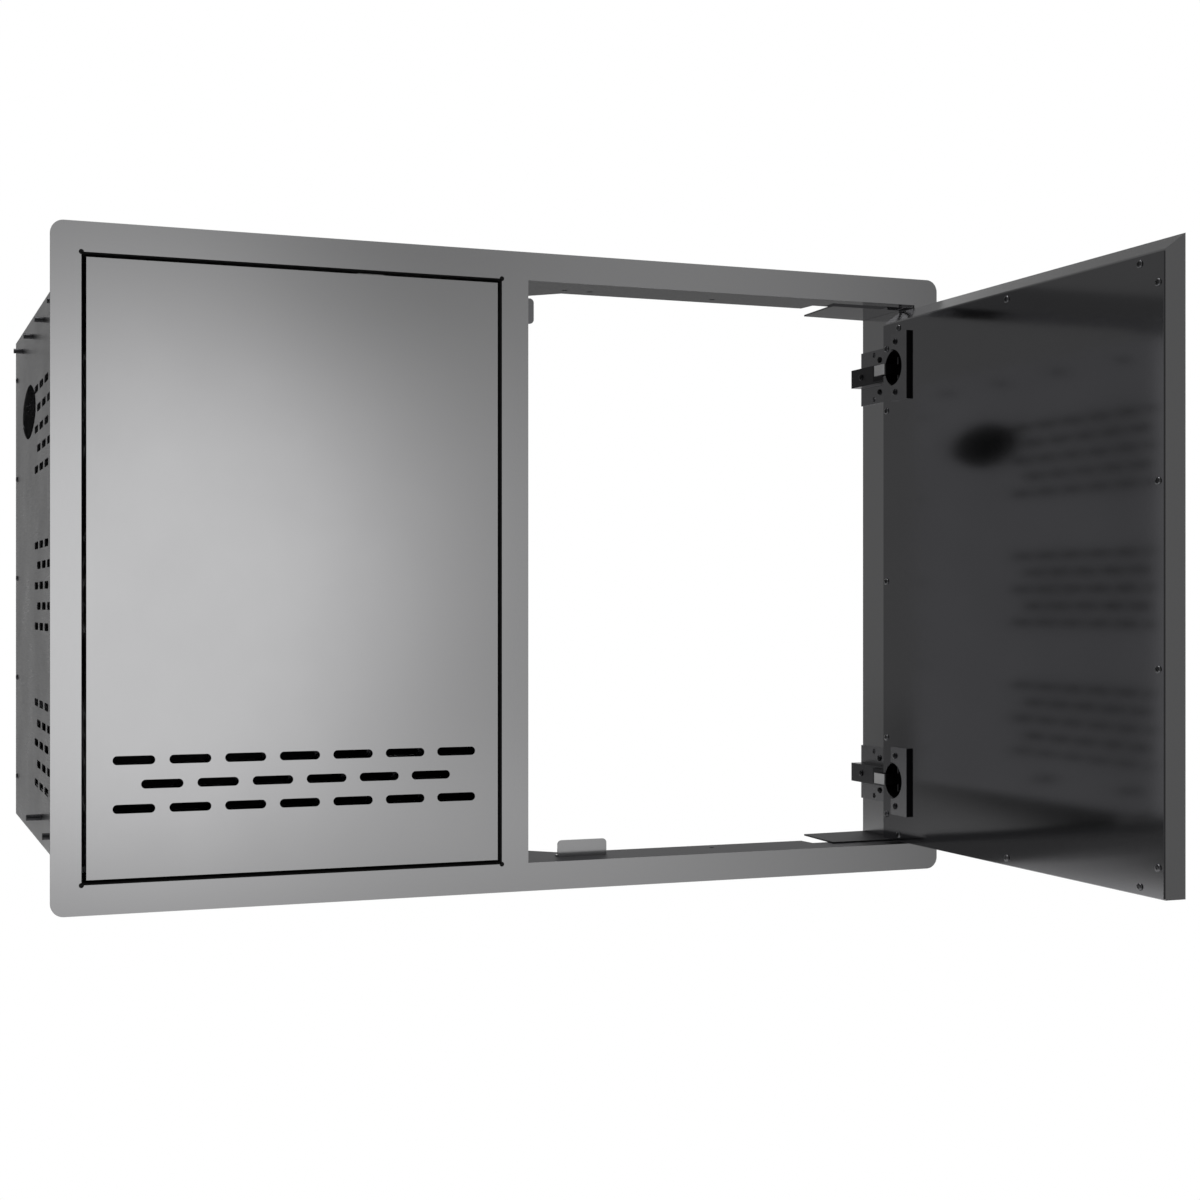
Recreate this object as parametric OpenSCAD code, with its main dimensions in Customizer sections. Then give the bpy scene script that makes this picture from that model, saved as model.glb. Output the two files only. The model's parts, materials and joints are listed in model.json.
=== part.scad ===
/* [Face frame] */
// Width of the frame's border, outside the two bays
flange_w = 25; // [20:0.5:40]
// Clear width of the drawer bay
drawer_bay_w = 365.5; // [355:0.5:420]
// Clear width of the door bay
door_bay_w = 397.5; // [340:0.5:480]
// Clear height of both bays
bay_h = 517; // [480:0.5:600]
// Width of the strip between the bays
divider_w = 25; // [20:0.5:40]
// Thickness of the frame's sheet
frame_t = 1.5; // [1:0.1:2]
// Radius of the frame's outer corners
corner_r = 11; // [6:0.5:18]
// Depth of the folded returns behind the flange
return_d = 51.5; // [45:0.5:60]
// Depth of the return on the door bay's free side, next to the divider
divider_return_d = 73.5; // [60:0.5:90]
// Length of the deep corner next to the divider
gusset_w = 28; // [20:0.5:40]
// Length of the slanted edge that ends the deep corner
gusset_run = 25; // [15:0.5:35]
// Radius of the bend relief at the bay corners
relief_r = 2.1; // [1.5:0.1:3]
// Radius of the screw holes in the door bay's returns
fixing_hole_r = 2.5; // [2:0.1:3.5]
// Distance of those holes behind the flange
fixing_hole_y = 34.5; // [25:0.5:42]
// First hole, from the divider side of the door bay
fixing_hole_first = 49.5; // [40:0.5:60]
// Distance between the two holes of each return
fixing_hole_pitch = 150; // [120:0.5:180]
// Distance from the first hole to the catch hole
catch_hole_step = 25; // [18:0.5:35]

/* [Hinge jamb] */
// Thickness of the jamb's sheet
jamb_t = 1.5; // [1:0.1:2]
// Depth of the jamb's rear edge behind the flange
jamb_d = 88; // [80:0.5:100]
// Depth at which the jamb starts behind the flange
jamb_start = 23; // [21:0.5:30]
// Length of the jamb's top and bottom tabs
jamb_tab_w = 75; // [60:0.5:90]
// Depth at which the tabs start
jamb_tab_start = 22; // [20:0.5:28]
// Slant of the tabs' outer edge
jamb_tab_slant = 4; // [0:0.5:10]
// Length of the cut in the returns next to the tabs
return_cut_w = 18; // [10:0.5:24]
// Depth that the cut leaves on the returns
return_cut_d = 33; // [28:0.5:40]
// Slant of the cut's edge
return_cut_slant = 2; // [0:0.5:6]

/* [Door stops] */
// Thickness of both stop tabs
stop_t = 1.5; // [1:0.1:2]
// Distance of the stops behind the flange
stop_y = 25; // [20:0.5:30]
// Width of the lower stop
stop_w = 48; // [30:0.5:60]
// Height of the lower stop
stop_h = 15; // [10:0.5:20]
// Distance of the lower stop from the divider side
stop_in = 39; // [30:0.5:60]
// Height of the upper stop
upper_stop_h = 23; // [15:0.5:30]
// Distance of the upper stop from the bay's top
upper_stop_drop = 11; // [8:0.5:15]
// Reach of the upper stop into the bay
upper_stop_reach = 15.5; // [10:0.5:16]
// Length of both stops' foot along the return
stop_foot = 5; // [4:0.5:5.5]
// Radius of the stops' free corners
stop_r = 4; // [2:0.5:6]

/* [Door and drawer panels] */
// Gap all round the door and the drawer front
panel_gap = 4; // [3.8:0.1:5]
// Thickness of both panels
panel_d = 20; // [18:0.5:24]
// Sheet thickness of the outer skins
skin_t = 1.2; // [0.8:0.1:1.5]
// Sheet thickness of the inner liners
liner_t = 1.2; // [0.8:0.1:1.5]
// Drop of the slanted top edge towards the inner face
bevel_drop = 14; // [8:0.5:18]
// Width of the folded lips that carry the liner
lip_w = 14; // [12:0.5:20]
// Inset of the liner from the panel's edges
liner_inset = 0.8; // [0.5:0.1:1.5]
// Distance of the liner screws from the inner face's edges
screw_inset = 6.5; // [5:0.5:9]
// Distance of the end screws from the inner face's corners
screw_end = 24; // [16:0.5:40]
// Distance of the end screws of the top and bottom rows
row_end = 27; // [20:0.5:40]
// Height of the middle screws of the free side, from its centre
mid_screw_step = 72; // [50:0.5:90]
// Distance of the hinge side's screws from the hinge centres
hinge_screw_step = 40; // [36:0.5:60]

/* [Vent slots] */
// Length of each vent slot
slot_l = 35; // [20:0.5:38]
// Height of each vent slot
slot_h = 7.4; // [4:0.1:10]
// Distance between slots in a row
slot_pitch = 46.7; // [44:0.1:52]
// Distance between rows
row_pitch = 20; // [16:0.5:24]
// Rows of slots on the drawer front
front_rows = 3; // [1:2:3]
// Slots in the long rows of the drawer front
front_slots = 7; // [3:1:7]
// Height of the lowest row above the drawer front's edge
front_row_z = 57; // [45:0.5:90]
// Slots in the long rows of the enclosure's sides
side_slots = 6; // [3:1:6]
// Rows in each group on the enclosure's sides
side_rows = 5; // [3:2:5]
// Distance between the groups
group_pitch = 155.5; // [130:0.5:160]
// Height of the middle group above the frame's lower edge
group_z = 273; // [260:0.5:290]
// Rearmost slot's centre behind the flange
side_slot_y = 335.5; // [320:0.5:340]

/* [Enclosure] */
// Sheet thickness of the enclosure
enc_t = 1.2; // [0.8:0.1:1.5]
// Depth of the enclosure behind the flange
enc_d = 562; // [540:1:620]
// Gap between the flange and the enclosure's front edge
enc_start = 12; // [8:0.5:20]
// Gap between the returns and the enclosure's inner flanges
enc_clear = 4; // [3:0.5:8]
// Height of the top panel's side flanges
top_flange_h = 26; // [24:0.5:30]
// Height of the bottom panel's side flanges
bottom_flange_h = 52; // [50:0.5:70]
// Depth of the rear panel's side flanges
rear_flange_d = 32; // [24:0.5:40]
// Gap between flanges that meet in a corner
flange_gap = 2; // [1:0.5:4]
// Length of the oval hose hole
hose_l = 137; // [120:1:140]
// Radius of the hose hole's ends
hose_end_r = 14; // [12:0.5:18]
// Height of the hose hole
hose_h = 55; // [50:1:60]
// Centre of the hose hole behind the flange
hose_y = 410.5; // [400:0.5:420]
// Height of the hose hole's centre
hose_z = 453; // [430:1:470]

/* [Fasteners] */
// Radial room round every screw's shank
screw_clear = 0.15; // [0.1:0.05:0.3]
// Shank radius of the small sheet screws
small_r = 1.75; // [1.25:0.05:2]
// Head radius of the small sheet screws
small_head_r = 3; // [2.5:0.1:4]
// Head height of the small sheet screws
small_head_h = 1.5; // [1:0.1:2]
// Shank length of the small sheet screws
small_l = 6; // [4:0.5:8]
// Shank radius of the top panel's screws
top_screw_r = 2.5; // [2:0.1:3]
// Length of those screws outside the side panels
top_screw_out = 8.5; // [4:0.5:12]
// Number of those screws on each side
top_screw_count = 4; // [2:1:4]
// First of those screws behind the flange
top_screw_first = 154.5; // [130:0.5:170]
// Distance between those screws
top_screw_pitch = 112; // [90:1:120]
// Distance of those screws below the enclosure's top
top_screw_drop = 18; // [14:0.5:20]
// Distance of the rear screws from the rear face
rear_screw_in = 18; // [12:0.5:24]
// Number of rear screws on each side
rear_screw_count = 5; // [3:2:5]
// Distance between the rear screws
rear_screw_pitch = 109; // [90:0.5:115]
// Shank radius of the slide bolts
slide_bolt_r = 3; // [2:0.1:3]
// Length of the slide bolts outside the side panels
slide_bolt_out = 14; // [6:0.5:18]
// Head radius of the slide bolts
slide_bolt_head_r = 6; // [4.5:0.1:7]
// Head height of the slide bolts
slide_bolt_head_h = 1.6; // [1:0.1:1.8]
// First slide bolt behind the flange
slide_bolt_first = 142.5; // [120:0.5:160]
// Distance between the slide bolts
slide_bolt_pitch = 150; // [120:1:180]
// Share of a screw head's base that its top keeps
head_taper = 0.8; // [0.6:0.05:0.9]

/* [Drawer slides] */
// Length of each slide member
slide_l = 400; // [350:1:450]
// Height of the slides
slide_h = 42; // [36:0.5:45]
// Height of the slides' centre above the frame's lower edge
slide_z = 48; // [47:0.5:60]
// Total thickness of a closed slide
slide_w = 12.7; // [12.5:0.1:14]
// Sheet thickness of the slide members
slide_t = 1.2; // [1:0.1:1.3]
// Running gap between slide members
slide_gap = 0.5; // [0.4:0.05:0.7]
// Room for bolt heads between the outer and the middle member
slide_head_room = 2.2; // [2:0.1:2.6]
// Front end of the slides behind the flange
slide_start = 55.5; // [54:0.5:70]
// Distance of the outer member's lips from the drawer
slide_lip_gap = 4; // [4:0.1:5]
// Number of screws on each inner member
slide_screw_count = 3; // [2:1:4]

/* [Tank tray] */
// Sheet thickness of the tray
tray_t = 1.5; // [1:0.1:2]
// Height of the tray's floor above the bay's lower edge
tray_rise = 5; // [3:0.5:10]
// Height of the tray's front rim above its floor
tray_rim = 50; // [44:0.5:60]
// Height of the tray's sides and back above its floor, behind the step
tray_side_h = 90; // [80:0.5:100]
// Distance of the step up from the tray's front
tray_step_y = 60; // [50:1:90]
// Depth of the tray behind the drawer front
tray_d = 420; // [400:1:500]
// Distance between the tray's front screws
tray_screw_step = 110; // [90:1:120]
// Height of those screws above the tray's floor
tray_screw_up = 16.5; // [15:0.5:22]
// Inner radius of the dish that holds the tank's foot ring
dish_r = 107.5; // [104:0.5:112]
// Height of the dish's wall
dish_h = 12; // [8:0.5:20]
// Wall and floor thickness of the dish
dish_t = 1.5; // [1:0.1:2]
// Radius of the drain hole in the dish
drain_r = 20; // [10:1:40]
// Sheet thickness of the braces
brace_t = 1.5; // [1:0.1:2]
// Distance of the braces' top below the liner's end screws
brace_drop = 20; // [8:0.5:100]
// Width of the braces' flange on the drawer front
brace_flange = 25; // [18:0.5:30]
// Distance of that flange above the vent slots
brace_vent_gap = 3; // [2:0.5:10]
// Height of the braces' low end above the bay's lower edge
brace_toe_h = 105; // [70:1:140]
// Number of screws on each brace
brace_screw_count = 3; // [2:1:4]
// Distance of the end screws from the ends of the flange
brace_screw_end = 25; // [10:0.5:40]
// Length of the braces along the tray
brace_run = 140; // [100:1:200]
// Length of the braces' top edge
brace_top = 16; // [10:0.5:30]

/* [Hinges] */
// Distance of the hinge centres from the bay's top and bottom
hinge_in = 61.5; // [60:0.5:110]
// Distance of the hinge axis from the door's edge and front face
axis_in = 8.5; // [8:0.1:8.6]
// Radius of the hinge cup
cup_r = 17.5; // [17:0.1:18]
// Depth of the hinge cup
cup_d = 14.5; // [14:0.1:15]
// Wall thickness of the hinge cup
cup_t = 0.8; // [0.6:0.1:0.9]
// Distance between the cup and the door's edge
cup_tab = 3; // [2.8:0.1:3.2]
// Height of the cup's flange
cup_flange_h = 64.5; // [58:0.5:68]
// Thickness of the cup's flange
cup_flange_t = 3.5; // [2:0.1:3.6]
// Reach of the flange from the axis, towards the free side
cup_flange_far = 37.5; // [34:0.5:40]
// Start of the flange from the axis
cup_flange_near = 10.5; // [9:0.5:14]
// Distance of the cup screws above and below the cup's centre
cup_screw_z = 24; // [22:0.5:28]
// Offset of the cup screws from the cup's centre
cup_screw_x = 6; // [4:0.5:9.5]
// Radius of the hinge pin
pin_r = 1.25; // [1:0.05:1.3]
// Running gap round the hinge pin
pin_gap = 0.05; // [0.03:0.01:0.08]
// Radius of the knuckle round the hinge pin
knuckle_r = 2; // [1.9:0.05:2.05]
// Height of the arm's neck
neck_h = 10; // [8:0.5:10]
// Thickness of the arm's neck
neck_t = 2.4; // [2:0.1:2.4]
// Distance of the neck from the axis
neck_x = 13.8; // [13.8:0.1:14.2]
// Height of the hinge arm
arm_h = 18; // [14:0.5:20]
// Standing height of the arm on its plate
arm_w = 11; // [10:0.5:13]
// Sheet thickness of the arm
arm_t = 1.2; // [1:0.1:1.5]
// Distance of the arm's front end from the axis
arm_start = 15.5; // [15.5:0.5:18]
// Length of the hinge arm
arm_l = 66; // [60:0.5:70]
// Length of the arm cover
cover_l = 21; // [16:0.5:24]
// Height of the arm cover
cover_h = 15; // [10:0.5:17]
// Thickness of the arm cover
cover_t = 1.5; // [1:0.1:2]
// Height of the wing plate
wing_h = 53; // [48:0.5:60]
// Thickness of the wing plate
wing_t = 2; // [1.5:0.1:2.5]
// Length of the wing plate
wing_l = 42; // [38:0.5:48]
// Distance of the wing screws above and below the hinge's centre
wing_screw_z = 16; // [14:0.5:20]
// Distance of the wing screws from the plate's front edge
wing_screw_in = 8; // [8:0.5:12]
// Step from each wing screw to the spare hole behind it
wing_hole_step = 10; // [8:0.5:14]
// Distance of the spare holes further out than the wing screws
wing_hole_out = 6; // [4:0.5:7]
// Distance of the rail from the plate's front edge
rail_in = 2; // [0:0.5:6]
// Distance of the arm screw from the arm's front end
arm_screw_in = 47.5; // [34:0.5:54]
// Distance of the neck's nose in front of the knuckle's middle
nose_out = 0.6; // [0.4:0.05:0.7]
// Seat gap of the rail inside the arm, and of the cover behind the neck
rail_gap = 0.3; // [0.2:0.05:0.4]

/* [Hidden] */
$fn = 48;
bite = 1;

// Places across the frame, from its centre
frame_w = 2 * flange_w + drawer_bay_w + door_bay_w + divider_w;
frame_h = bay_h + 2 * flange_w;
drawer_x0 = -frame_w / 2 + flange_w;
drawer_x1 = drawer_x0 + drawer_bay_w;
drawer_cx = (drawer_x0 + drawer_x1) / 2;
door_x0 = drawer_x1 + divider_w;
door_x1 = door_x0 + door_bay_w;
bay_z0 = flange_w;
bay_z1 = bay_z0 + bay_h;
bay_cz = (bay_z0 + bay_z1) / 2;
front_y = -frame_t;

// Panels
panel_h = bay_h - 2 * panel_gap;
panel_z0 = bay_z0 + panel_gap;
door_w = door_bay_w - 2 * panel_gap;
drawer_w = drawer_bay_w - 2 * panel_gap;
inner_y = front_y + panel_d;
bevel_slope = bevel_drop / panel_d;
inner_face_h = panel_h - bevel_drop;

// Enclosure, round the outside of the drawer bay's returns
wall_in = drawer_bay_w / 2 + frame_t;
wall_out = wall_in + enc_t;
enc_z0 = bay_z0 - frame_t - enc_t;
enc_z1 = bay_z1 + frame_t + enc_t;
flange_front = return_d + enc_clear;
rear_y = enc_d - enc_t;

// Slides, on the bottom panel's side flanges
slide_x0 = wall_in - enc_t;
slide_x1 = slide_x0 - slide_w;
mid_x0 = slide_x0 - slide_t - slide_head_room;
mid_h = slide_h - 2 * slide_t - 2 * slide_gap;
inner_h = mid_h - 2 * slide_t - 2 * slide_gap;
tray_x = slide_x1;
tray_z = bay_z0 + tray_rise;
tray_cy = inner_y + tray_d / 2;
brace_z0 = panel_z0 + front_row_z + (front_rows - 1) * row_pitch + slot_h / 2 + brace_vent_gap;
brace_z1 = panel_z0 + inner_face_h - screw_end - brace_drop;

// Hinge axis and cup, with the door closed
axis_x = door_x1 - panel_gap - axis_in;
axis_y = front_y + axis_in;
cup_x = door_x1 - panel_gap - cup_tab - cup_r;
jamb_x = door_x1 - jamb_t;
arm_y0 = axis_y + arm_start;
wing_x = jamb_x - wing_t;
arm_top_x = wing_x - arm_w;

steel = [0.72, 0.72, 0.73];
dark_steel = [0.42, 0.42, 0.43];
black_steel = [0.16, 0.16, 0.17];
cover_steel = [0.5, 0.5, 0.51];

// A box from its lowest to its highest corner
module block(lo, hi) {
    translate(lo) cube(hi - lo);
}

// A rectangle with round corners
module round_rect(w, h, r) {
    translate([r, 0]) square([w - 2 * r, h]);
    translate([0, r]) square([w, h - 2 * r]);
    for (x = [r, w - r], y = [r, h - r]) translate([x, y]) circle(r);
}

// A slot with round ends, centred
module slot2d(l, h) {
    translate([-(l - h) / 2, -h / 2]) square([l - h, h]);
    for (s = [-1, 1]) translate([s * (l - h) / 2, 0]) circle(h / 2);
}

// An oval of four arcs that meet without corners
module oval2d(l, h, end_r) {
    end_x = l / 2 - end_r;
    side_r = (end_x * end_x + h * h / 4 - end_r * end_r) / (h - 2 * end_r);
    join_x = end_x * side_r / (side_r - end_r);
    intersection() {
        translate([0, h / 2 - side_r]) circle(side_r);
        translate([0, side_r - h / 2]) circle(side_r);
        translate([-join_x, -h / 2]) square([2 * join_x, h]);
    }
    for (s = [-1, 1]) translate([s * end_x, 0]) circle(end_r);
}

// A flat sheet standing across the depth, drawn from the front as x and z
module upright(y, t) {
    translate([0, y + t, 0]) rotate([90, 0, 0]) linear_extrude(t) children();
}

// A flat sheet standing along the depth, drawn as y and z
module lengthwise(x, t) {
    translate([x, 0, 0]) rotate([90, 0, 90]) linear_extrude(t) children();
}

// A shank and head along +X, head at the negative side
module screw_x(r, l, head_r, head_h) {
    rotate([0, 90, 0]) {
        cylinder(r = r, h = l);
        translate([0, 0, -head_h]) cylinder(r1 = head_r * head_taper, r2 = head_r, h = head_h);
    }
}

// Left-hand pieces of the drawer bay, or their mirror image
module on_side(right) {
    translate([drawer_cx, 0, 0])
        if (right) mirror([1, 0, 0]) children();
        else children();
}

// Pieces modelled on the closed door, swung open to the rest pose
module swung_open() {
    translate([axis_x, axis_y, 0]) rotate([0, 0, 90]) translate([-axis_x, -axis_y, 0]) children();
}

function fixing_xs() = [door_x0 + fixing_hole_first, door_x0 + fixing_hole_first + fixing_hole_pitch];
function hinge_zs() = [bay_z1 - hinge_in, bay_z0 + hinge_in];

// One door bay return, drawn from above
module door_return_plan() {
    cut_x = door_x1 - jamb_tab_w - return_cut_w;
    polygon([
        [door_x0 - frame_t, front_y], [door_x0 - frame_t, divider_return_d],
        [door_x0 + gusset_w, divider_return_d], [door_x0 + gusset_w + gusset_run, return_d],
        [cut_x, return_d], [cut_x + return_cut_slant, return_cut_d],
        [door_x1 + frame_t, return_cut_d], [door_x1 + frame_t, front_y]
    ]);
}

module frame_sheet() {
    upright(front_y, frame_t) difference() {
        translate([-frame_w / 2, 0]) round_rect(frame_w, frame_h, corner_r);
        translate([drawer_x0, bay_z0]) square([drawer_bay_w, bay_h]);
        translate([door_x0, bay_z0]) square([door_bay_w, bay_h]);
    }
}

module relief_cuts() {
    for (x = [drawer_x0, drawer_x1, door_x0, door_x1], z = [bay_z0, bay_z1])
        translate([x, front_y - bite, z]) rotate([-90, 0, 0]) cylinder(r = relief_r, h = frame_t + 2 * bite);
}

module door_returns() {
    difference() {
        for (z = [bay_z0 - frame_t, bay_z1])
            translate([0, 0, z]) linear_extrude(frame_t) door_return_plan();
        for (x = fixing_xs()) translate([x, fixing_hole_y, bay_z0 - frame_t - bite])
            cylinder(r = fixing_hole_r, h = bay_h + 2 * frame_t + 2 * bite);
        translate([door_x0 + fixing_hole_first + catch_hole_step, fixing_hole_y, bay_z1 - bite])
            cylinder(r = fixing_hole_r, h = frame_t + 2 * bite);
    }
    block([door_x0 - frame_t, front_y, bay_z0 - frame_t], [door_x0, divider_return_d, bay_z1 + frame_t]);
    block([door_x1, front_y, bay_z0], [door_x1 + frame_t, return_d, bay_z1]);
}

module drawer_returns() {
    difference() {
        block([drawer_x0 - frame_t, front_y, bay_z0 - frame_t],
            [drawer_x1 + frame_t, return_d, bay_z1 + frame_t]);
        block([drawer_x0, front_y - bite, bay_z0], [drawer_x1, return_d + bite, bay_z1]);
    }
}

module face_frame() {
    color(steel) difference() {
        union() {
            frame_sheet();
            drawer_returns();
            door_returns();
        }
        relief_cuts();
    }
}

module hinge_jamb() {
    tab_x = door_x1 - jamb_tab_w;
    color(dark_steel) difference() {
        union() {
            block([jamb_x, jamb_start, bay_z0], [door_x1, jamb_d, bay_z1]);
            for (z = [bay_z0, bay_z1 - jamb_t]) translate([0, 0, z]) linear_extrude(jamb_t)
                polygon([[tab_x, jamb_tab_start], [tab_x + jamb_tab_slant, jamb_d - jamb_tab_slant],
                    [door_x1, jamb_d], [door_x1, jamb_tab_start]]);
        }
        for (hz = hinge_zs(), s = [-1, 1])
            translate([jamb_x - bite, wing_screw_y(), hz + s * wing_screw_z]) rotate([0, 90, 0])
                cylinder(r = small_r + screw_clear, h = jamb_t + 2 * bite);
    }
}

module lower_door_stop() {
    color(dark_steel) {
        upright(stop_y, stop_t) translate([door_x0 + stop_in, bay_z0]) stop_outline();
        block([door_x0 + stop_in, stop_y, bay_z0],
            [door_x0 + stop_in + stop_w, stop_y + stop_t + stop_foot, bay_z0 + stop_t]);
    }
}

module stop_outline() {
    square([stop_w, stop_h - stop_r]);
    translate([stop_r, 0]) square([stop_w - 2 * stop_r, stop_h]);
    for (x = [stop_r, stop_w - stop_r]) translate([x, stop_h - stop_r]) circle(stop_r);
}

module upper_stop_outline() {
    square([upper_stop_reach - stop_r, upper_stop_h]);
    translate([0, stop_r]) square([upper_stop_reach, upper_stop_h - 2 * stop_r]);
    for (z = [stop_r, upper_stop_h - stop_r]) translate([upper_stop_reach - stop_r, z]) circle(stop_r);
}

module upper_door_stop() {
    z0 = bay_z1 - upper_stop_drop - upper_stop_h;
    color(dark_steel) {
        upright(stop_y, stop_t) translate([door_x0, z0]) upper_stop_outline();
        block([door_x0, stop_y, z0],
            [door_x0 + stop_t, stop_y + stop_t + stop_foot, z0 + upper_stop_h]);
    }
}

// Slots of one row, centred on the given point
module slot_row(count) {
    for (i = [0 : count - 1]) translate([(i - (count - 1) / 2) * slot_pitch, 0]) slot2d(slot_l, slot_h);
}

module side_vents() {
    mid_y = side_slot_y - (side_slots - 1) * slot_pitch / 2;
    for (g = [-1, 0, 1], r = [0 : side_rows - 1])
        translate([mid_y, group_z + g * group_pitch + (r - (side_rows - 1) / 2) * row_pitch])
            slot_row(r % 2 == 0 ? side_slots : side_slots - 1);
}

function top_screw_ys() = [for (i = [0 : top_screw_count - 1]) top_screw_first + i * top_screw_pitch];
function rear_screw_zs() = [for (i = [0 : rear_screw_count - 1])
    bay_cz + (i - (rear_screw_count - 1) / 2) * rear_screw_pitch];
function slide_bolt_ys() = [for (i = [0, 1]) slide_bolt_first + i * slide_bolt_pitch];
function rear_screw_y() = enc_d - rear_screw_in;
function top_screw_z() = enc_z1 - top_screw_drop;

// Screw holes that the side panels and the flanges inside them share
module side_screw_holes() {
    for (y = top_screw_ys()) translate([y, top_screw_z()]) circle(top_screw_r + screw_clear);
    for (z = rear_screw_zs()) translate([rear_screw_y(), z]) circle(small_r + screw_clear);
    for (y = slide_bolt_ys()) translate([y, slide_z]) circle(slide_bolt_r + screw_clear);
}

module side_panel() {
    lengthwise(-wall_out, enc_t) difference() {
        translate([enc_start, enc_z0]) square([enc_d - enc_start, enc_z1 - enc_z0]);
        side_vents();
        translate([hose_y, hose_z]) oval2d(hose_l, hose_h, hose_end_r);
        side_screw_holes();
    }
}

module enclosure_left() {
    color(dark_steel) on_side(false) side_panel();
}

module enclosure_right() {
    color(dark_steel) on_side(true) side_panel();
}

module enclosure_top() {
    color(dark_steel) translate([drawer_cx, 0, 0]) {
        block([-wall_in, enc_start, enc_z1 - enc_t], [wall_in, enc_d, enc_z1]);
        for (m = [0, 1]) mirror([m, 0, 0]) lengthwise(-wall_in, enc_t) difference() {
            translate([flange_front, enc_z1 - enc_t - top_flange_h])
                square([rear_y - flange_gap - flange_front, top_flange_h + enc_t]);
            side_screw_holes();
        }
    }
}

module enclosure_bottom() {
    color(dark_steel) translate([drawer_cx, 0, 0]) {
        block([-wall_in, enc_start, enc_z0], [wall_in, enc_d, enc_z0 + enc_t]);
        for (m = [0, 1]) mirror([m, 0, 0]) lengthwise(-wall_in, enc_t) difference() {
            translate([flange_front, enc_z0])
                square([rear_y - rear_flange_d - flange_gap - flange_front, bottom_flange_h + enc_t]);
            side_screw_holes();
        }
    }
}

module enclosure_rear() {
    z0 = enc_z0 + enc_t;
    z1 = enc_z1 - enc_t;
    color(dark_steel) translate([drawer_cx, 0, 0]) {
        block([-wall_in, rear_y, z0], [wall_in, enc_d, z1]);
        for (m = [0, 1]) mirror([m, 0, 0]) lengthwise(-wall_in, enc_t) difference() {
            translate([rear_y - rear_flange_d, z0])
                square([rear_flange_d + enc_t, z1 - z0 - top_flange_h - flange_gap]);
            side_screw_holes();
        }
    }
}

module top_flange_screws() {
    color(dark_steel) for (right = [false, true]) on_side(right) for (y = top_screw_ys())
        translate([-wall_in + enc_t, y, top_screw_z()]) mirror([1, 0, 0])
            screw_x(top_screw_r, 2 * enc_t + top_screw_out, 2 * top_screw_r, top_screw_r);
}

module rear_flange_screws() {
    color(dark_steel) for (right = [false, true]) on_side(right) for (z = rear_screw_zs())
        translate([-wall_out, rear_screw_y(), z]) screw_x(small_r, small_l, small_head_r, small_head_h);
}

module slide_bolts() {
    color(dark_steel) for (right = [false, true]) on_side(right) for (y = slide_bolt_ys())
        translate([-slide_x0 + slide_t, y, slide_z]) mirror([1, 0, 0])
            screw_x(slide_bolt_r, slide_t + 2 * enc_t + slide_bolt_out, slide_bolt_head_r, slide_bolt_head_h);
}

// A channel along the depth: x from its back to its open side, z about the slide's centre
module slide_channel(x0, x1, h) {
    back = x1 > x0 ? 1 : -1;
    lo = min(x0, x1);
    translate([lo, slide_start, slide_z - h / 2]) difference() {
        cube([abs(x1 - x0), slide_l, h]);
        translate([back > 0 ? slide_t : -bite, -bite, slide_t])
            cube([abs(x1 - x0) - slide_t + bite, slide_l + 2 * bite, h - 2 * slide_t]);
    }
}

module slide_outer() {
    color(steel) difference() {
        slide_channel(-slide_x0, -slide_x0 + slide_w - slide_lip_gap, slide_h);
        for (y = slide_bolt_ys()) translate([-slide_x0 - bite, y, slide_z]) rotate([0, 90, 0])
            cylinder(r = slide_bolt_r + screw_clear, h = slide_t + 2 * bite);
    }
}

module slide_middle() {
    color(steel) slide_channel(-mid_x0, -slide_x1 - 2 * slide_t, mid_h);
}

function slide_screw_ys() = [for (i = [0 : slide_screw_count - 1])
    slide_start + slide_l * (i + 0.5) / slide_screw_count];

module slide_inner() {
    color(steel) difference() {
        slide_channel(-slide_x1, -mid_x0 + slide_t + slide_gap, inner_h);
        for (y = slide_screw_ys()) translate([-slide_x1 - slide_t - bite, y, slide_z]) rotate([0, 90, 0])
            cylinder(r = small_r + screw_clear, h = slide_t + 2 * bite);
    }
}

module slide_screws() {
    color(steel) for (right = [false, true]) on_side(right) for (y = slide_screw_ys())
        translate([-slide_x1 - slide_t, y, slide_z]) screw_x(small_r, small_l, small_head_r, small_head_h);
}

// Section of a panel at the given margin inside its outer faces, drawn as depth and height
module panel_section(margin, depth) {
    rise = margin * sqrt(1 + bevel_slope * bevel_slope);
    polygon([[margin, margin], [margin, panel_h - bevel_slope * margin - rise],
        [depth, panel_h - bevel_slope * depth - rise], [depth, margin]]);
}

// A folded panel skin with the lips that carry its liner, from its lower left front corner
module panel_skin(w) {
    lip_y = panel_d - liner_t - skin_t;
    skin_d = panel_d - liner_t;
    difference() {
        lengthwise(0, w) panel_section(0, skin_d);
        lengthwise(skin_t, w - 2 * skin_t) panel_section(skin_t, lip_y);
        block([lip_w, lip_y - bite, lip_w], [w - lip_w, skin_d + bite, inner_face_h - lip_w]);
    }
}

module panel_liner(w) {
    block([liner_inset, panel_d - liner_t, liner_inset],
        [w - liner_inset, panel_d, inner_face_h - liner_inset]);
}

// Places of the liner screws as x and z, hinges at the given heights above the panel's edge
function liner_screw_places(w, hinge_heights) = concat(
    [for (s = [-1, 1], k = [mid_screw_step, inner_face_h / 2 - screw_end])
        [screw_inset, inner_face_h / 2 + s * k]],
    [for (x = [row_end, w / 2, w - row_end], z = [screw_inset, inner_face_h - screw_inset]) [x, z]],
    [for (z = concat([screw_end, inner_face_h / 2, inner_face_h - screw_end], hinge_heights))
        [w - screw_inset, z]]);

function door_screw_places() = liner_screw_places(door_w,
    [hinge_zs()[0] - panel_z0 - hinge_screw_step, hinge_zs()[1] - panel_z0 + hinge_screw_step]);

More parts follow.
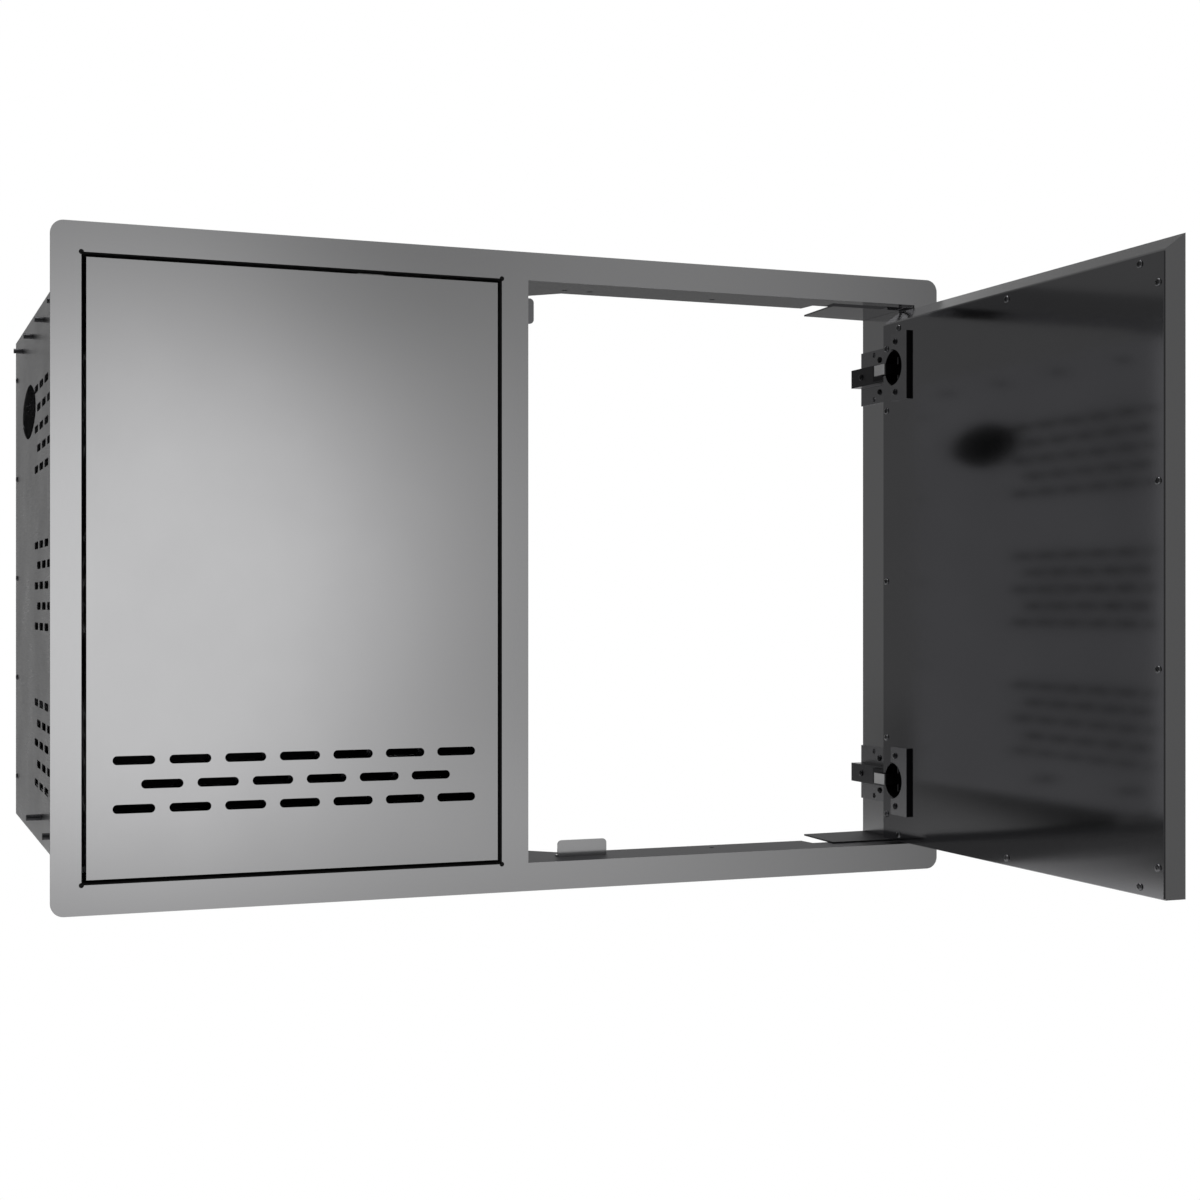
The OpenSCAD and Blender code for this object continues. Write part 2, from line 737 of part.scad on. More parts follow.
// The tray and its screws hold the drawer liner's lower edge
function drawer_screw_places() = concat(
    [for (x = [screw_inset, drawer_w - screw_inset], z = [inner_face_h / 2 - mid_screw_step,
        inner_face_h / 2 + mid_screw_step, inner_face_h - screw_end]) [x, z]],
    [for (x = [row_end, drawer_w / 2, drawer_w - row_end]) [x, inner_face_h - screw_inset]]);

module liner_screw_holes(places) {
    for (p = places) translate([p[0], panel_d - liner_t - skin_t - bite, p[1]]) rotate([-90, 0, 0])
        cylinder(r = small_r + screw_clear, h = liner_t + skin_t + 2 * bite);
}

module liner_screws(places) {
    for (p = places) translate([p[0], panel_d, p[1]]) rotate([0, 0, -90])
        screw_x(small_r, small_l, small_head_r, small_head_h);
}

// Round cuts for the hinge cups, on the closed door
module cup_cuts() {
    for (z = hinge_zs()) translate([cup_x, inner_y - panel_d / 2, z]) rotate([-90, 0, 0])
        cylinder(r = cup_r + screw_clear, h = panel_d);
}

module cup_screw_cuts() {
    for (z = hinge_zs(), s = [-1, 1])
        translate([cup_x - cup_screw_x, inner_y - small_l, z + s * cup_screw_z]) rotate([-90, 0, 0])
            cylinder(r = small_r + screw_clear, h = panel_d);
}

module on_door() {
    translate([door_x0 + panel_gap, front_y, panel_z0]) children();
}

module door_skin() {
    color(steel) swung_open() difference() {
        on_door() panel_skin(door_w);
        on_door() liner_screw_holes(door_screw_places());
        cup_cuts();
    }
}

module door_liner() {
    color(dark_steel) swung_open() difference() {
        on_door() panel_liner(door_w);
        on_door() liner_screw_holes(door_screw_places());
        cup_cuts();
        cup_screw_cuts();
    }
}

module door_liner_screws() {
    color(steel) swung_open() on_door() liner_screws(door_screw_places());
}

module on_drawer() {
    translate([drawer_x0 + panel_gap, front_y, panel_z0]) children();
}

// Vent slots of the drawer front, as x and z from the panel's corner
module front_vents() {
    for (r = [0 : front_rows - 1]) translate([drawer_w / 2, front_row_z + r * row_pitch])
        slot_row(r % 2 == 0 ? front_slots : front_slots - 1);
}

module drawer_skin() {
    color(steel) on_drawer() difference() {
        panel_skin(drawer_w);
        upright(-bite, skin_t + 2 * bite) front_vents();
        liner_screw_holes(drawer_screw_places());
    }
}

function tray_screw_xs() = [for (s = [-1, 0, 1]) drawer_cx + s * tray_screw_step];
function tray_screw_z() = tray_z + tray_screw_up;
function brace_screw_zs() = [for (i = [0 : brace_screw_count - 1]) brace_z0 + brace_screw_end
    + i * (brace_z1 - brace_z0 - 2 * brace_screw_end) / (brace_screw_count - 1)];
function brace_screw_x() = tray_x - tray_t - brace_flange / 2;

module drawer_liner() {
    color(dark_steel) difference() {
        on_drawer() difference() {
            panel_liner(drawer_w);
            upright(panel_d - liner_t - bite, liner_t + 2 * bite) front_vents();
            liner_screw_holes(drawer_screw_places());
        }
        for (x = tray_screw_xs()) translate([x, inner_y - liner_t - bite, tray_screw_z()]) rotate([-90, 0, 0])
            cylinder(r = small_r + screw_clear, h = liner_t + 2 * bite);
        for (s = [-1, 1], z = brace_screw_zs())
            translate([drawer_cx + s * brace_screw_x(), inner_y - liner_t - bite, z]) rotate([-90, 0, 0])
                cylinder(r = small_r + screw_clear, h = liner_t + 2 * bite);
    }
}

module drawer_liner_screws() {
    color(steel) on_drawer() liner_screws(drawer_screw_places());
}

// The front rim stays below the vent slots, and the sides step up behind it
module tank_tray() {
    rim = tray_z + tray_rim;
    top = tray_z + tray_side_h;
    step_y = inner_y + tray_step_y;
    color(dark_steel) translate([drawer_cx, 0, 0]) difference() {
        block([-tray_x, inner_y, tray_z], [tray_x, inner_y + tray_d, top]);
        lengthwise(-tray_x - bite, 2 * tray_x + 2 * bite) polygon([
            [inner_y - bite, rim], [step_y, rim], [step_y + top - rim, top],
            [step_y + top - rim, top + bite], [inner_y - bite, top + bite]]);
        block([-tray_x + tray_t, inner_y + tray_t, tray_z + tray_t],
            [tray_x - tray_t, inner_y + tray_d - tray_t, top + bite]);
        for (x = tray_screw_xs())
            translate([x - drawer_cx, inner_y - bite, tray_screw_z()]) rotate([-90, 0, 0])
                cylinder(r = small_r + screw_clear, h = tray_t + 2 * bite);
        for (y = slide_screw_ys(), s = [-1, 1]) translate([s * (tray_x - tray_t / 2) - tray_t, y, slide_z])
            rotate([0, 90, 0]) cylinder(r = small_r + screw_clear, h = 2 * tray_t);
        translate([0, tray_cy, tray_z - bite]) cylinder(r = drain_r, h = tray_t + 2 * bite);
    }
}

module tank_dish() {
    color(steel) translate([drawer_cx, tray_cy, tray_z + tray_t]) rotate_extrude($fn = 96)
        polygon([[drain_r, 0], [dish_r + dish_t, 0], [dish_r + dish_t, dish_h + dish_t],
            [dish_r, dish_h + dish_t], [dish_r, dish_t], [drain_r, dish_t]]);
}

// A brace, drawn on the left side of the bay
module front_brace() {
    low = tray_z + tray_t;
    rim = tray_z + tray_rim;
    y0 = inner_y;
    x0 = -tray_x + tray_t;
    color(dark_steel) difference() {
        union() {
            lengthwise(x0, brace_t) polygon([
                [y0 + tray_t + flange_gap, low], [y0 + tray_t + flange_gap, rim + flange_gap],
                [y0, rim + flange_gap], [y0, brace_z1], [y0 + brace_top, brace_z1],
                [y0 + brace_run, bay_z0 + brace_toe_h], [y0 + brace_run, low]]);
            block([x0, y0, brace_z0], [x0 + brace_flange, y0 + brace_t, brace_z1]);
        }
        for (z = brace_screw_zs()) translate([-brace_screw_x(), y0 - bite, z]) rotate([-90, 0, 0])
            cylinder(r = small_r + screw_clear, h = brace_t + 2 * bite);
        for (y = slide_screw_ys()) translate([x0 - bite, y, slide_z]) rotate([0, 90, 0])
            cylinder(r = small_r + screw_clear, h = brace_t + 2 * bite);
    }
}

module brace_screws() {
    color(steel) for (s = [-1, 1], z = brace_screw_zs())
        translate([drawer_cx + s * brace_screw_x(), inner_y + brace_t, z]) rotate([0, 0, -90])
            screw_x(small_r, small_l, small_head_r, small_head_h);
}

module tray_front_screws() {
    color(steel) for (x = tray_screw_xs())
        translate([x, inner_y + tray_t, tray_screw_z()]) rotate([0, 0, -90])
            screw_x(small_r, small_l, small_head_r, small_head_h);
}

function wing_screw_y() = jamb_d - wing_l + wing_screw_in;

// The wing plate with the rail that the arm sits on
module hinge_plate(z) {
    rail_w = arm_w - arm_t - rail_gap;
    rail_h = arm_h - 2 * arm_t - 2 * rail_gap;
    color(black_steel) translate([wing_x, 0, z]) difference() {
        union() {
            block([0, jamb_d - wing_l, -wing_h / 2], [wing_t, jamb_d, wing_h / 2]);
            block([-rail_w, jamb_d - wing_l + rail_in, -rail_h / 2], [bite, jamb_d, rail_h / 2]);
        }
        for (s = [-1, 1]) {
            translate([-bite, wing_screw_y(), s * wing_screw_z]) rotate([0, 90, 0])
                cylinder(r = small_r + screw_clear, h = wing_t + 2 * bite);
            translate([-bite, wing_screw_y() + wing_hole_step, s * (wing_screw_z + wing_hole_out)])
                rotate([0, 90, 0]) cylinder(r = fixing_hole_r, h = wing_t + 2 * bite);
        }
        translate([-rail_w - bite, arm_screw_y(), 0]) rotate([0, 90, 0])
            cylinder(r = small_r + screw_clear, h = small_l + bite);
    }
}

function arm_screw_y() = arm_y0 + arm_screw_in;

// The folded arm with its neck and the knuckle round the hinge pin
module hinge_arm(z) {
    neck_y = arm_y0;
    nose_y = axis_y - neck_t / 2 - nose_out;
    color(black_steel) translate([0, 0, z]) difference() {
        union() {
            difference() {
                block([arm_top_x, arm_y0, -arm_h / 2], [wing_x, arm_y0 + arm_l, arm_h / 2]);
                block([arm_top_x + arm_t, arm_y0 + arm_t, -arm_h / 2 + arm_t],
                    [wing_x + bite, arm_y0 + arm_l + bite, arm_h / 2 - arm_t]);
            }
            translate([0, 0, -neck_h / 2]) linear_extrude(neck_h) polygon([
                [arm_top_x + arm_t, neck_y], [axis_x - neck_x, neck_y], [axis_x - neck_x, nose_y + neck_t],
                [axis_x, nose_y + neck_t], [axis_x, nose_y],
                [axis_x - neck_x - neck_t / 2, nose_y], [axis_x - neck_x - neck_t, nose_y + neck_t / 2],
                [axis_x - neck_x - neck_t, neck_y + neck_t / 2],
                [axis_x - neck_x - neck_t / 2, neck_y + neck_t],
                [arm_top_x + arm_t, neck_y + neck_t]]);
            translate([axis_x, axis_y, -neck_h / 2]) cylinder(r = knuckle_r, h = neck_h);
        }
        translate([axis_x, axis_y, -neck_h / 2 - bite]) cylinder(r = pin_r + pin_gap, h = neck_h + 2 * bite);
        translate([arm_top_x - bite, arm_screw_y(), 0]) rotate([0, 90, 0])
            cylinder(r = small_r + screw_clear, h = arm_t + 2 * bite);
    }
}

module arm_cover(z) {
    start = arm_y0 + neck_t + rail_gap;
    color(cover_steel) translate([0, 0, z])
        block([arm_top_x - cover_t, start, -cover_h / 2], [arm_top_x, start + cover_l, cover_h / 2]);
}

module hinge_plate_screws() {
    color(steel) for (z = hinge_zs(), s = [-1, 1]) translate([wing_x, wing_screw_y(), z + s * wing_screw_z])
        screw_x(small_r, small_l, small_head_r, small_head_h);
}

module arm_screws() {
    color(steel) for (z = hinge_zs()) translate([arm_top_x, arm_screw_y(), z])
        screw_x(small_r, small_l, small_head_r, small_head_h);
}

// The cup in the closed door, its mouth towards the inside
module hinge_cup(z) {
    color(black_steel) swung_open() translate([0, 0, z]) difference() {
        union() {
            translate([cup_x, inner_y - cup_d, 0]) rotate([-90, 0, 0]) cylinder(r = cup_r, h = cup_d);
            block([axis_x - cup_flange_far, inner_y, -cup_flange_h / 2],
                [axis_x - cup_flange_near, inner_y + cup_flange_t, cup_flange_h / 2]);
        }
        translate([cup_x, inner_y - cup_d + cup_t, 0]) rotate([-90, 0, 0])
            cylinder(r = cup_r - cup_t, h = cup_d + cup_flange_t);
        translate([axis_x, axis_y, -cup_r]) cylinder(r = pin_r + pin_gap, h = 2 * cup_r);
        for (s = [-1, 1])
            translate([cup_x - cup_screw_x, inner_y - bite, s * cup_screw_z]) rotate([-90, 0, 0])
                cylinder(r = small_r + screw_clear, h = cup_flange_t + 2 * bite);
    }
}

// The pin ends inside the thickness of the cup's wall
module hinge_pin(z) {
    reach = axis_x - cup_x;
    half = (sqrt(cup_r * cup_r - reach * reach) + sqrt(pow(cup_r - cup_t, 2) - reach * reach)) / 2;
    color(steel) translate([axis_x, axis_y, z - half]) cylinder(r = pin_r, h = 2 * half);
}

module hinge_cup_screws() {
    color(steel) swung_open() for (z = hinge_zs(), s = [-1, 1])
        translate([cup_x - cup_screw_x, inner_y + cup_flange_t, z + s * cup_screw_z]) rotate([0, 0, -90])
            screw_x(small_r, cup_flange_t + small_l, small_head_r, small_head_h);
}

face_frame();
hinge_jamb();
lower_door_stop();
upper_door_stop();
enclosure_left();
enclosure_right();
enclosure_top();
enclosure_bottom();
enclosure_rear();
top_flange_screws();
rear_flange_screws();
slide_bolts();
on_side(false) slide_outer();  // slide_outer_left
on_side(true) slide_outer();  // slide_outer_right
on_side(false) slide_middle();  // slide_middle_left
on_side(true) slide_middle();  // slide_middle_right
on_side(false) slide_inner();  // slide_inner_left
on_side(true) slide_inner();  // slide_inner_right
slide_screws();
hinge_plate(hinge_zs()[0]);  // upper_hinge_plate
hinge_plate(hinge_zs()[1]);  // lower_hinge_plate
hinge_arm(hinge_zs()[0]);  // upper_hinge_arm
hinge_arm(hinge_zs()[1]);  // lower_hinge_arm
arm_cover(hinge_zs()[0]);  // upper_arm_cover
arm_cover(hinge_zs()[1]);  // lower_arm_cover
hinge_plate_screws();
arm_screws();
door_skin();
door_liner();
door_liner_screws();
hinge_cup(hinge_zs()[0]);  // upper_hinge_cup
hinge_cup(hinge_zs()[1]);  // lower_hinge_cup
hinge_pin(hinge_zs()[0]);  // upper_hinge_pin
hinge_pin(hinge_zs()[1]);  // lower_hinge_pin
hinge_cup_screws();
drawer_skin();
drawer_liner();
drawer_liner_screws();
tank_tray();
tank_dish();
on_side(false) front_brace();  // front_brace_left
on_side(true) front_brace();  // front_brace_right
brace_screws();
tray_front_screws();
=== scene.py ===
"""Looks of the stainless door and drawer combination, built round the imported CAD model.

All lengths are metres in the CAD's own frame: +X right, +Y into the island, +Z up.
"""

import json
import math

import bmesh
import bpy
from mathutils import Matrix, Vector


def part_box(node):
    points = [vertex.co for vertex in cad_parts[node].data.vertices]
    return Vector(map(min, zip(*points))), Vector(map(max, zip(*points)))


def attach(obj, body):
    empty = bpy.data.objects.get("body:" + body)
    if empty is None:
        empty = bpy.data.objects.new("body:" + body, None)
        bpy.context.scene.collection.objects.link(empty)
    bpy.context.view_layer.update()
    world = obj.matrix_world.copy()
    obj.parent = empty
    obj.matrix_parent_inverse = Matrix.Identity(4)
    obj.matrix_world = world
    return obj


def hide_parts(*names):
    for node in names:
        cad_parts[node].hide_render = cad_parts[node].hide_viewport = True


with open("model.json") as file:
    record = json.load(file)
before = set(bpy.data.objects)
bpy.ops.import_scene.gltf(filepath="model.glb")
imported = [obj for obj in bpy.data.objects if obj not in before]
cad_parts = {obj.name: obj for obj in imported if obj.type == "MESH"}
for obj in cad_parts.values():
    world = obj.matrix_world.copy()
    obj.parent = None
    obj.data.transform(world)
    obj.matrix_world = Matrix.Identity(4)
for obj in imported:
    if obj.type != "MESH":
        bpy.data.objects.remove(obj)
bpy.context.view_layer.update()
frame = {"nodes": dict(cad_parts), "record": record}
nodes = frame["nodes"]
MM = 0.001


def colour(hex_code):
    """An sRGB hex colour as the linear RGBA that shader sockets hold."""
    channels = [int(hex_code[i : i + 2], 16) / 255 for i in (1, 3, 5)]
    linear = [c / 12.92 if c <= 0.04045 else ((c + 0.055) / 1.055) ** 2.4 for c in channels]
    return (*linear, 1.0)


def add(tree, kind, inputs=None, **settings):
    """A node with its settings and inputs. An input is a value or another node's output socket."""
    node = tree.nodes.new(kind)
    for name, value in settings.items():
        setattr(node, name, value)
    for name, value in (inputs or {}).items():
        if isinstance(value, bpy.types.NodeSocket):
            tree.links.new(value, node.inputs[name])
        else:
            node.inputs[name].default_value = value
    return node


# ---------------------------------------------------------------- materials

# Noise scales: grain lines half a millimetre wide and 15 mm long that run up a piece, and specks of a millimetre
UPRIGHT_GRAIN = (2000, 2000, 67)
SPECKS = 900.0
# Colours that several pieces of the face share: polished sheet, and the same sheet as it left the mill
POLISHED, UNPOLISHED = colour("#bebebf"), colour("#8c8c8e")


def new_material(name):
    material = bpy.data.materials.new(name)
    material.use_nodes = True
    material.node_tree.nodes.clear()
    return material


def finish_material(material, surface):
    add(material.node_tree, "ShaderNodeOutputMaterial", {"Surface": surface})
    return material


def sheet_metal(name, base, smear, roughness, spread, grain_mm, depth_mm, along="Z"):
    """Rolled or brushed sheet: a fine straight grain along one axis, and faint wide smears in the gloss."""
    material = new_material(name)
    tree = material.node_tree
    place = add(tree, "ShaderNodeTexCoord").outputs["Object"]
    # Grain lines are about thirty times as long as they are wide
    fine, long = 1 / (grain_mm * MM), 1 / (30 * grain_mm * MM)
    scale = {"Y": (fine, long, fine), "Z": (fine, fine, long)}[along]
    stretched = add(tree, "ShaderNodeMapping", {"Vector": place, "Scale": scale}).outputs["Vector"]
    grain = add(tree, "ShaderNodeTexNoise", {"Vector": stretched, "Scale": 1.0, "Detail": 2.0}).outputs["Fac"]
    # Smears are hand-sized: about 90 mm across
    wide = add(tree, "ShaderNodeTexNoise", {"Vector": place, "Scale": 11.0, "Detail": 3.0}).outputs["Fac"]
    tint = add(tree, "ShaderNodeMix", {0: wide, 6: colour(base), 7: colour(smear)}, data_type="RGBA")
    mixed = add(tree, "ShaderNodeMath", {0: grain, 1: wide}, operation="ADD").outputs[0]
    gloss = add(tree, "ShaderNodeMapRange", {
        "Value": mixed, "From Min": 0.6, "From Max": 1.4,
        "To Min": roughness - spread, "To Max": roughness + spread,
    }).outputs["Result"]
    bump = add(tree, "ShaderNodeBump", {
        "Height": grain, "Strength": 0.25, "Distance": depth_mm * MM,
    }).outputs["Normal"]
    surface = add(tree, "ShaderNodeBsdfPrincipled", {
        "Base Color": tint.outputs[2], "Metallic": 1.0, "Roughness": gloss, "Normal": bump,
    })
    return finish_material(material, surface.outputs["BSDF"])


def small_metal(name, base, worn, roughness, speck_mm):
    """Small turned, pressed or plated parts: an even finish with fine specks of wear."""
    material = new_material(name)
    tree = material.node_tree
    place = add(tree, "ShaderNodeTexCoord").outputs["Object"]
    specks = add(tree, "ShaderNodeTexNoise", {
        "Vector": place, "Scale": 1 / (speck_mm * MM), "Detail": 3.0,
    }).outputs["Fac"]
    share = add(tree, "ShaderNodeMapRange", {
        "Value": specks, "From Min": 0.45, "From Max": 0.7,
    }).outputs["Result"]
    tint = add(tree, "ShaderNodeMix", {0: share, 6: colour(base), 7: colour(worn)}, data_type="RGBA")
    gloss = add(tree, "ShaderNodeMapRange", {
        "Value": specks, "To Min": roughness - 0.06, "To Max": roughness + 0.06,
    }).outputs["Result"]
    bump = add(tree, "ShaderNodeBump", {
        "Height": specks, "Strength": 0.15, "Distance": 0.02 * MM,
    }).outputs["Normal"]
    surface = add(tree, "ShaderNodeBsdfPrincipled", {
        "Base Color": tint.outputs[2], "Metallic": 1.0, "Roughness": gloss, "Normal": bump,
    })
    return finish_material(material, surface.outputs["BSDF"])


# Stainless steel 304, satin polished: a soft mirror whose grain is finer than a pixel
satin_steel = sheet_metal(
    "stainless_304_satin", "#bebebf", "#bababb", roughness=0.15, spread=0.015, grain_mm=0.5, depth_mm=0.003)
# Stainless steel 304, cold rolled mill finish on the inner sheets: darker and more mirror-like
liner_steel = sheet_metal(
    "stainless_304_cold_rolled", "#8f8f91", "#8a8a8c", roughness=0.1, spread=0.01, grain_mm=0.8, depth_mm=0.002)
# Stainless steel 430, plain rolled sheet of the sleeve: dull and dark
sleeve_steel = sheet_metal(
    "stainless_430_rolled", "#757577", "#6e6e70", roughness=0.3, spread=0.04, grain_mm=0.9, depth_mm=0.006,
    along="Y")
# Folded stainless bracket: sheet like the sleeve's, smoother and paler
bracket_steel = sheet_metal(
    "stainless_430_bracket", "#8e8e90", "#88888a", roughness=0.26, spread=0.03, grain_mm=0.8, depth_mm=0.005)
# Tray and braces: dull steel sheet darkened as painted shade, so that the drawer's slots look black from in front
tray_steel_painted_shade = sheet_metal(
    "steel_sheet_darkened_as_shade", "#4a4a4c", "#434345", roughness=0.42, spread=0.04, grain_mm=0.8, depth_mm=0.005)
# Zinc-plated steel of the drawer slides: bluish and soft
zinc_plate = small_metal("zinc_plated_steel", "#b4b8bb", "#9da2a6", roughness=0.34, speck_mm=6.0)
# Pressed hinge parts and their screws, black nickel plated: a dark satin gloss
black_nickel = small_metal("black_nickel_plate", "#2b2b2d", "#3a3a3c", roughness=0.32, speck_mm=1.5)
# Stainless screws and pins, as rolled: darker than the sheet they hold
screw_steel = small_metal("stainless_screw_dull", "#6c6c6e", "#58585a", roughness=0.28, speck_mm=0.8)
# Dark screws on the sleeve's outside: dull
sleeve_screw_steel = small_metal("screw_steel_dark", "#4a4a4c", "#38383a", roughness=0.5, speck_mm=0.8)


def arm_steel():
    """Hinge arms: black nickel plate, with a pearl grey lacquer on the gooseneck's outer face."""
    material = new_material("black_nickel_arm_pearl_neck")
    tree = material.node_tree
    place = add(tree, "ShaderNodeTexCoord").outputs["Object"]
    side = add(tree, "ShaderNodeSeparateXYZ", {"Vector": place}).outputs["X"]
    # The gooseneck's outer face is the arm's lowest X
    neck_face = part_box("upper_hinge_arm")[0][0] + 0.25 * MM
    neck = add(tree, "ShaderNodeMath", {0: side, 1: neck_face}, operation="LESS_THAN").outputs[0]
    # Dust specks in the lacquer
    specks = add(tree, "ShaderNodeTexNoise", {"Vector": place, "Scale": SPECKS, "Detail": 3.0}).outputs["Fac"]
    lacquer = add(tree, "ShaderNodeMix", {
        0: specks, 6: colour("#f2f2f2"), 7: colour("#dcdcdc"),
    }, data_type="RGBA").outputs[2]
    tint = add(tree, "ShaderNodeMix", {0: neck, 6: colour("#4d4d4f"), 7: lacquer}, data_type="RGBA").outputs[2]
    metal = add(tree, "ShaderNodeMath", {0: 1.0, 1: neck}, operation="SUBTRACT").outputs[0]
    gloss = add(tree, "ShaderNodeMapRange", {"Value": specks, "To Min": 0.28, "To Max": 0.4}).outputs["Result"]
    bump = add(tree, "ShaderNodeBump", {
        "Height": specks, "Strength": 0.15, "Distance": 0.02 * MM,
    }).outputs["Normal"]
    surface = add(tree, "ShaderNodeBsdfPrincipled", {
        "Base Color": tint, "Metallic": metal, "Roughness": gloss, "Normal": bump,
    })
    return finish_material(material, surface.outputs["BSDF"])


def hinge_steel():
    """Hinge plates and cups: grey nickel plate, with painted shade: black inside the cups and on the cups' front
    rims.
    """
    bore_radius, shade_radius, rim_depth = 17.5 * MM, 17.2 * MM, 0.3 * MM
    material = new_material("nickel_plate_with_painted_shade_cup")
    tree = material.node_tree
    place = add(tree, "ShaderNodeTexCoord").outputs["Object"]
    # Painted shade: the cups' front rims are black, for the dark gap line along each cup's flange
    front_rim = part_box("upper_hinge_cup")[0][1] + rim_depth
    depth = add(tree, "ShaderNodeSeparateXYZ", {"Vector": place}).outputs["Y"]
    black = add(tree, "ShaderNodeMath", {0: depth, 1: front_rim}, operation="LESS_THAN").outputs[0]
    # Painted shade: inside each cup's bore is black, for the shade in the hollow
    for low, high in (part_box(level + "_hinge_cup") for level in ("lower", "upper")):
        # The bore's far side is the cup's highest Y, and its middle is half-way up
        offset = add(tree, "ShaderNodeVectorMath", {
            0: place, 1: (0, high[1] - bore_radius, (low[2] + high[2]) / 2),
        }, operation="SUBTRACT").outputs[0]
        flat = add(tree, "ShaderNodeVectorMath", {0: offset, 1: (0, 1, 1)}, operation="MULTIPLY").outputs[0]
        radius = add(tree, "ShaderNodeVectorMath", {0: flat}, operation="LENGTH").outputs["Value"]
        inside = add(tree, "ShaderNodeMath", {0: radius, 1: shade_radius}, operation="LESS_THAN").outputs[0]
        black = add(tree, "ShaderNodeMath", {0: black, 1: inside}, operation="MAXIMUM").outputs[0]
    # Pitting of the plating
    specks = add(tree, "ShaderNodeTexNoise", {"Vector": place, "Scale": SPECKS, "Detail": 3.0}).outputs["Fac"]
    plate = add(tree, "ShaderNodeMix", {
        0: specks, 6: colour("#98989a"), 7: colour("#88888a"),
    }, data_type="RGBA").outputs[2]
    # 242426 is the painted shade of the bores and rims
    tint = add(tree, "ShaderNodeMix", {0: black, 6: plate, 7: colour("#242426")}, data_type="RGBA").outputs[2]
    gloss = add(tree, "ShaderNodeMapRange", {"Value": black, "To Min": 0.24, "To Max": 0.45}).outputs["Result"]
    bump = add(tree, "ShaderNodeBump", {
        "Height": specks, "Strength": 0.12, "Distance": 0.02 * MM,
    }).outputs["Normal"]
    surface = add(tree, "ShaderNodeBsdfPrincipled", {
        "Base Color": tint, "Metallic": 1.0, "Roughness": gloss, "Normal": bump,
    })
    return finish_material(material, surface.outputs["BSDF"])


def frame_steel():
    """The face frame: satin flange in front, dull laser-cut edges darkened as painted shade, unpolished returns,
    and a lower return darkened as painted shade.
    """
    material = new_material("stainless_304_face_frame")
    tree = material.node_tree
    place = add(tree, "ShaderNodeTexCoord").outputs["Object"]
    parts = add(tree, "ShaderNodeSeparateXYZ", {"Vector": place}).outputs
    # The flange's front is at -1.5 mm and its back at 0. Its cut edges lie between, and the returns behind
    behind = add(tree, "ShaderNodeMapRange", {
        "Value": parts["Y"], "From Min": -0.1 * MM, "From Max": 0.1 * MM,
    }).outputs["Result"]
    past_front = add(tree, "ShaderNodeMapRange", {
        "Value": parts["Y"], "From Min": -1.45 * MM, "From Max": -1.35 * MM,
    }).outputs["Result"]
    # The cut edges are dark as painted shade: a black line along the flange's inner edges and round its bend
    # reliefs
    edge = add(tree, "ShaderNodeMath", {0: past_front, 1: behind}, operation="SUBTRACT").outputs[0]
    # The lower return is at 25 mm, and is dull and dark in the photograph
    # Its dark tint is painted shade on the lower return
    low = add(tree, "ShaderNodeMapRange", {
        "Value": parts["Z"], "From Min": 26.0 * MM, "From Max": 30.0 * MM, "To Min": 1.0, "To Max": 0.0,
    }).outputs["Result"]
    sill_painted_shade = add(tree, "ShaderNodeMath", {0: low, 1: behind}, operation="MULTIPLY").outputs[0]
    stretched = add(tree, "ShaderNodeMapping", {"Vector": place, "Scale": UPRIGHT_GRAIN}).outputs["Vector"]
    grain = add(tree, "ShaderNodeTexNoise", {"Vector": stretched, "Scale": 1.0, "Detail": 2.0}).outputs["Fac"]
    gloss = add(tree, "ShaderNodeMapRange", {"Value": grain, "To Min": 0.13, "To Max": 0.17}).outputs["Result"]
    tint = POLISHED
    # The last two tints are painted shade, on the lower return and on the cut edges
    for share, region_tint, region_gloss in (
        (behind, UNPOLISHED, 0.04),
        (sill_painted_shade, colour("#4c4c4e"), 0.6),
        (edge, colour("#2c2c2e"), 0.6),
    ):
        tint = add(tree, "ShaderNodeMix", {0: share, 6: tint, 7: region_tint}, data_type="RGBA").outputs[2]
        gloss = add(tree, "ShaderNodeMix", {0: share, 2: gloss, 3: region_gloss}).outputs[0]
    bump = add(tree, "ShaderNodeBump", {
        "Height": grain, "Strength": 0.25, "Distance": 0.003 * MM,
    }).outputs["Normal"]
    surface = add(tree, "ShaderNodeBsdfPrincipled", {
        "Base Color": tint, "Metallic": 1.0, "Roughness": gloss, "Normal": bump,
    })
    return finish_material(material, surface.outputs["BSDF"])


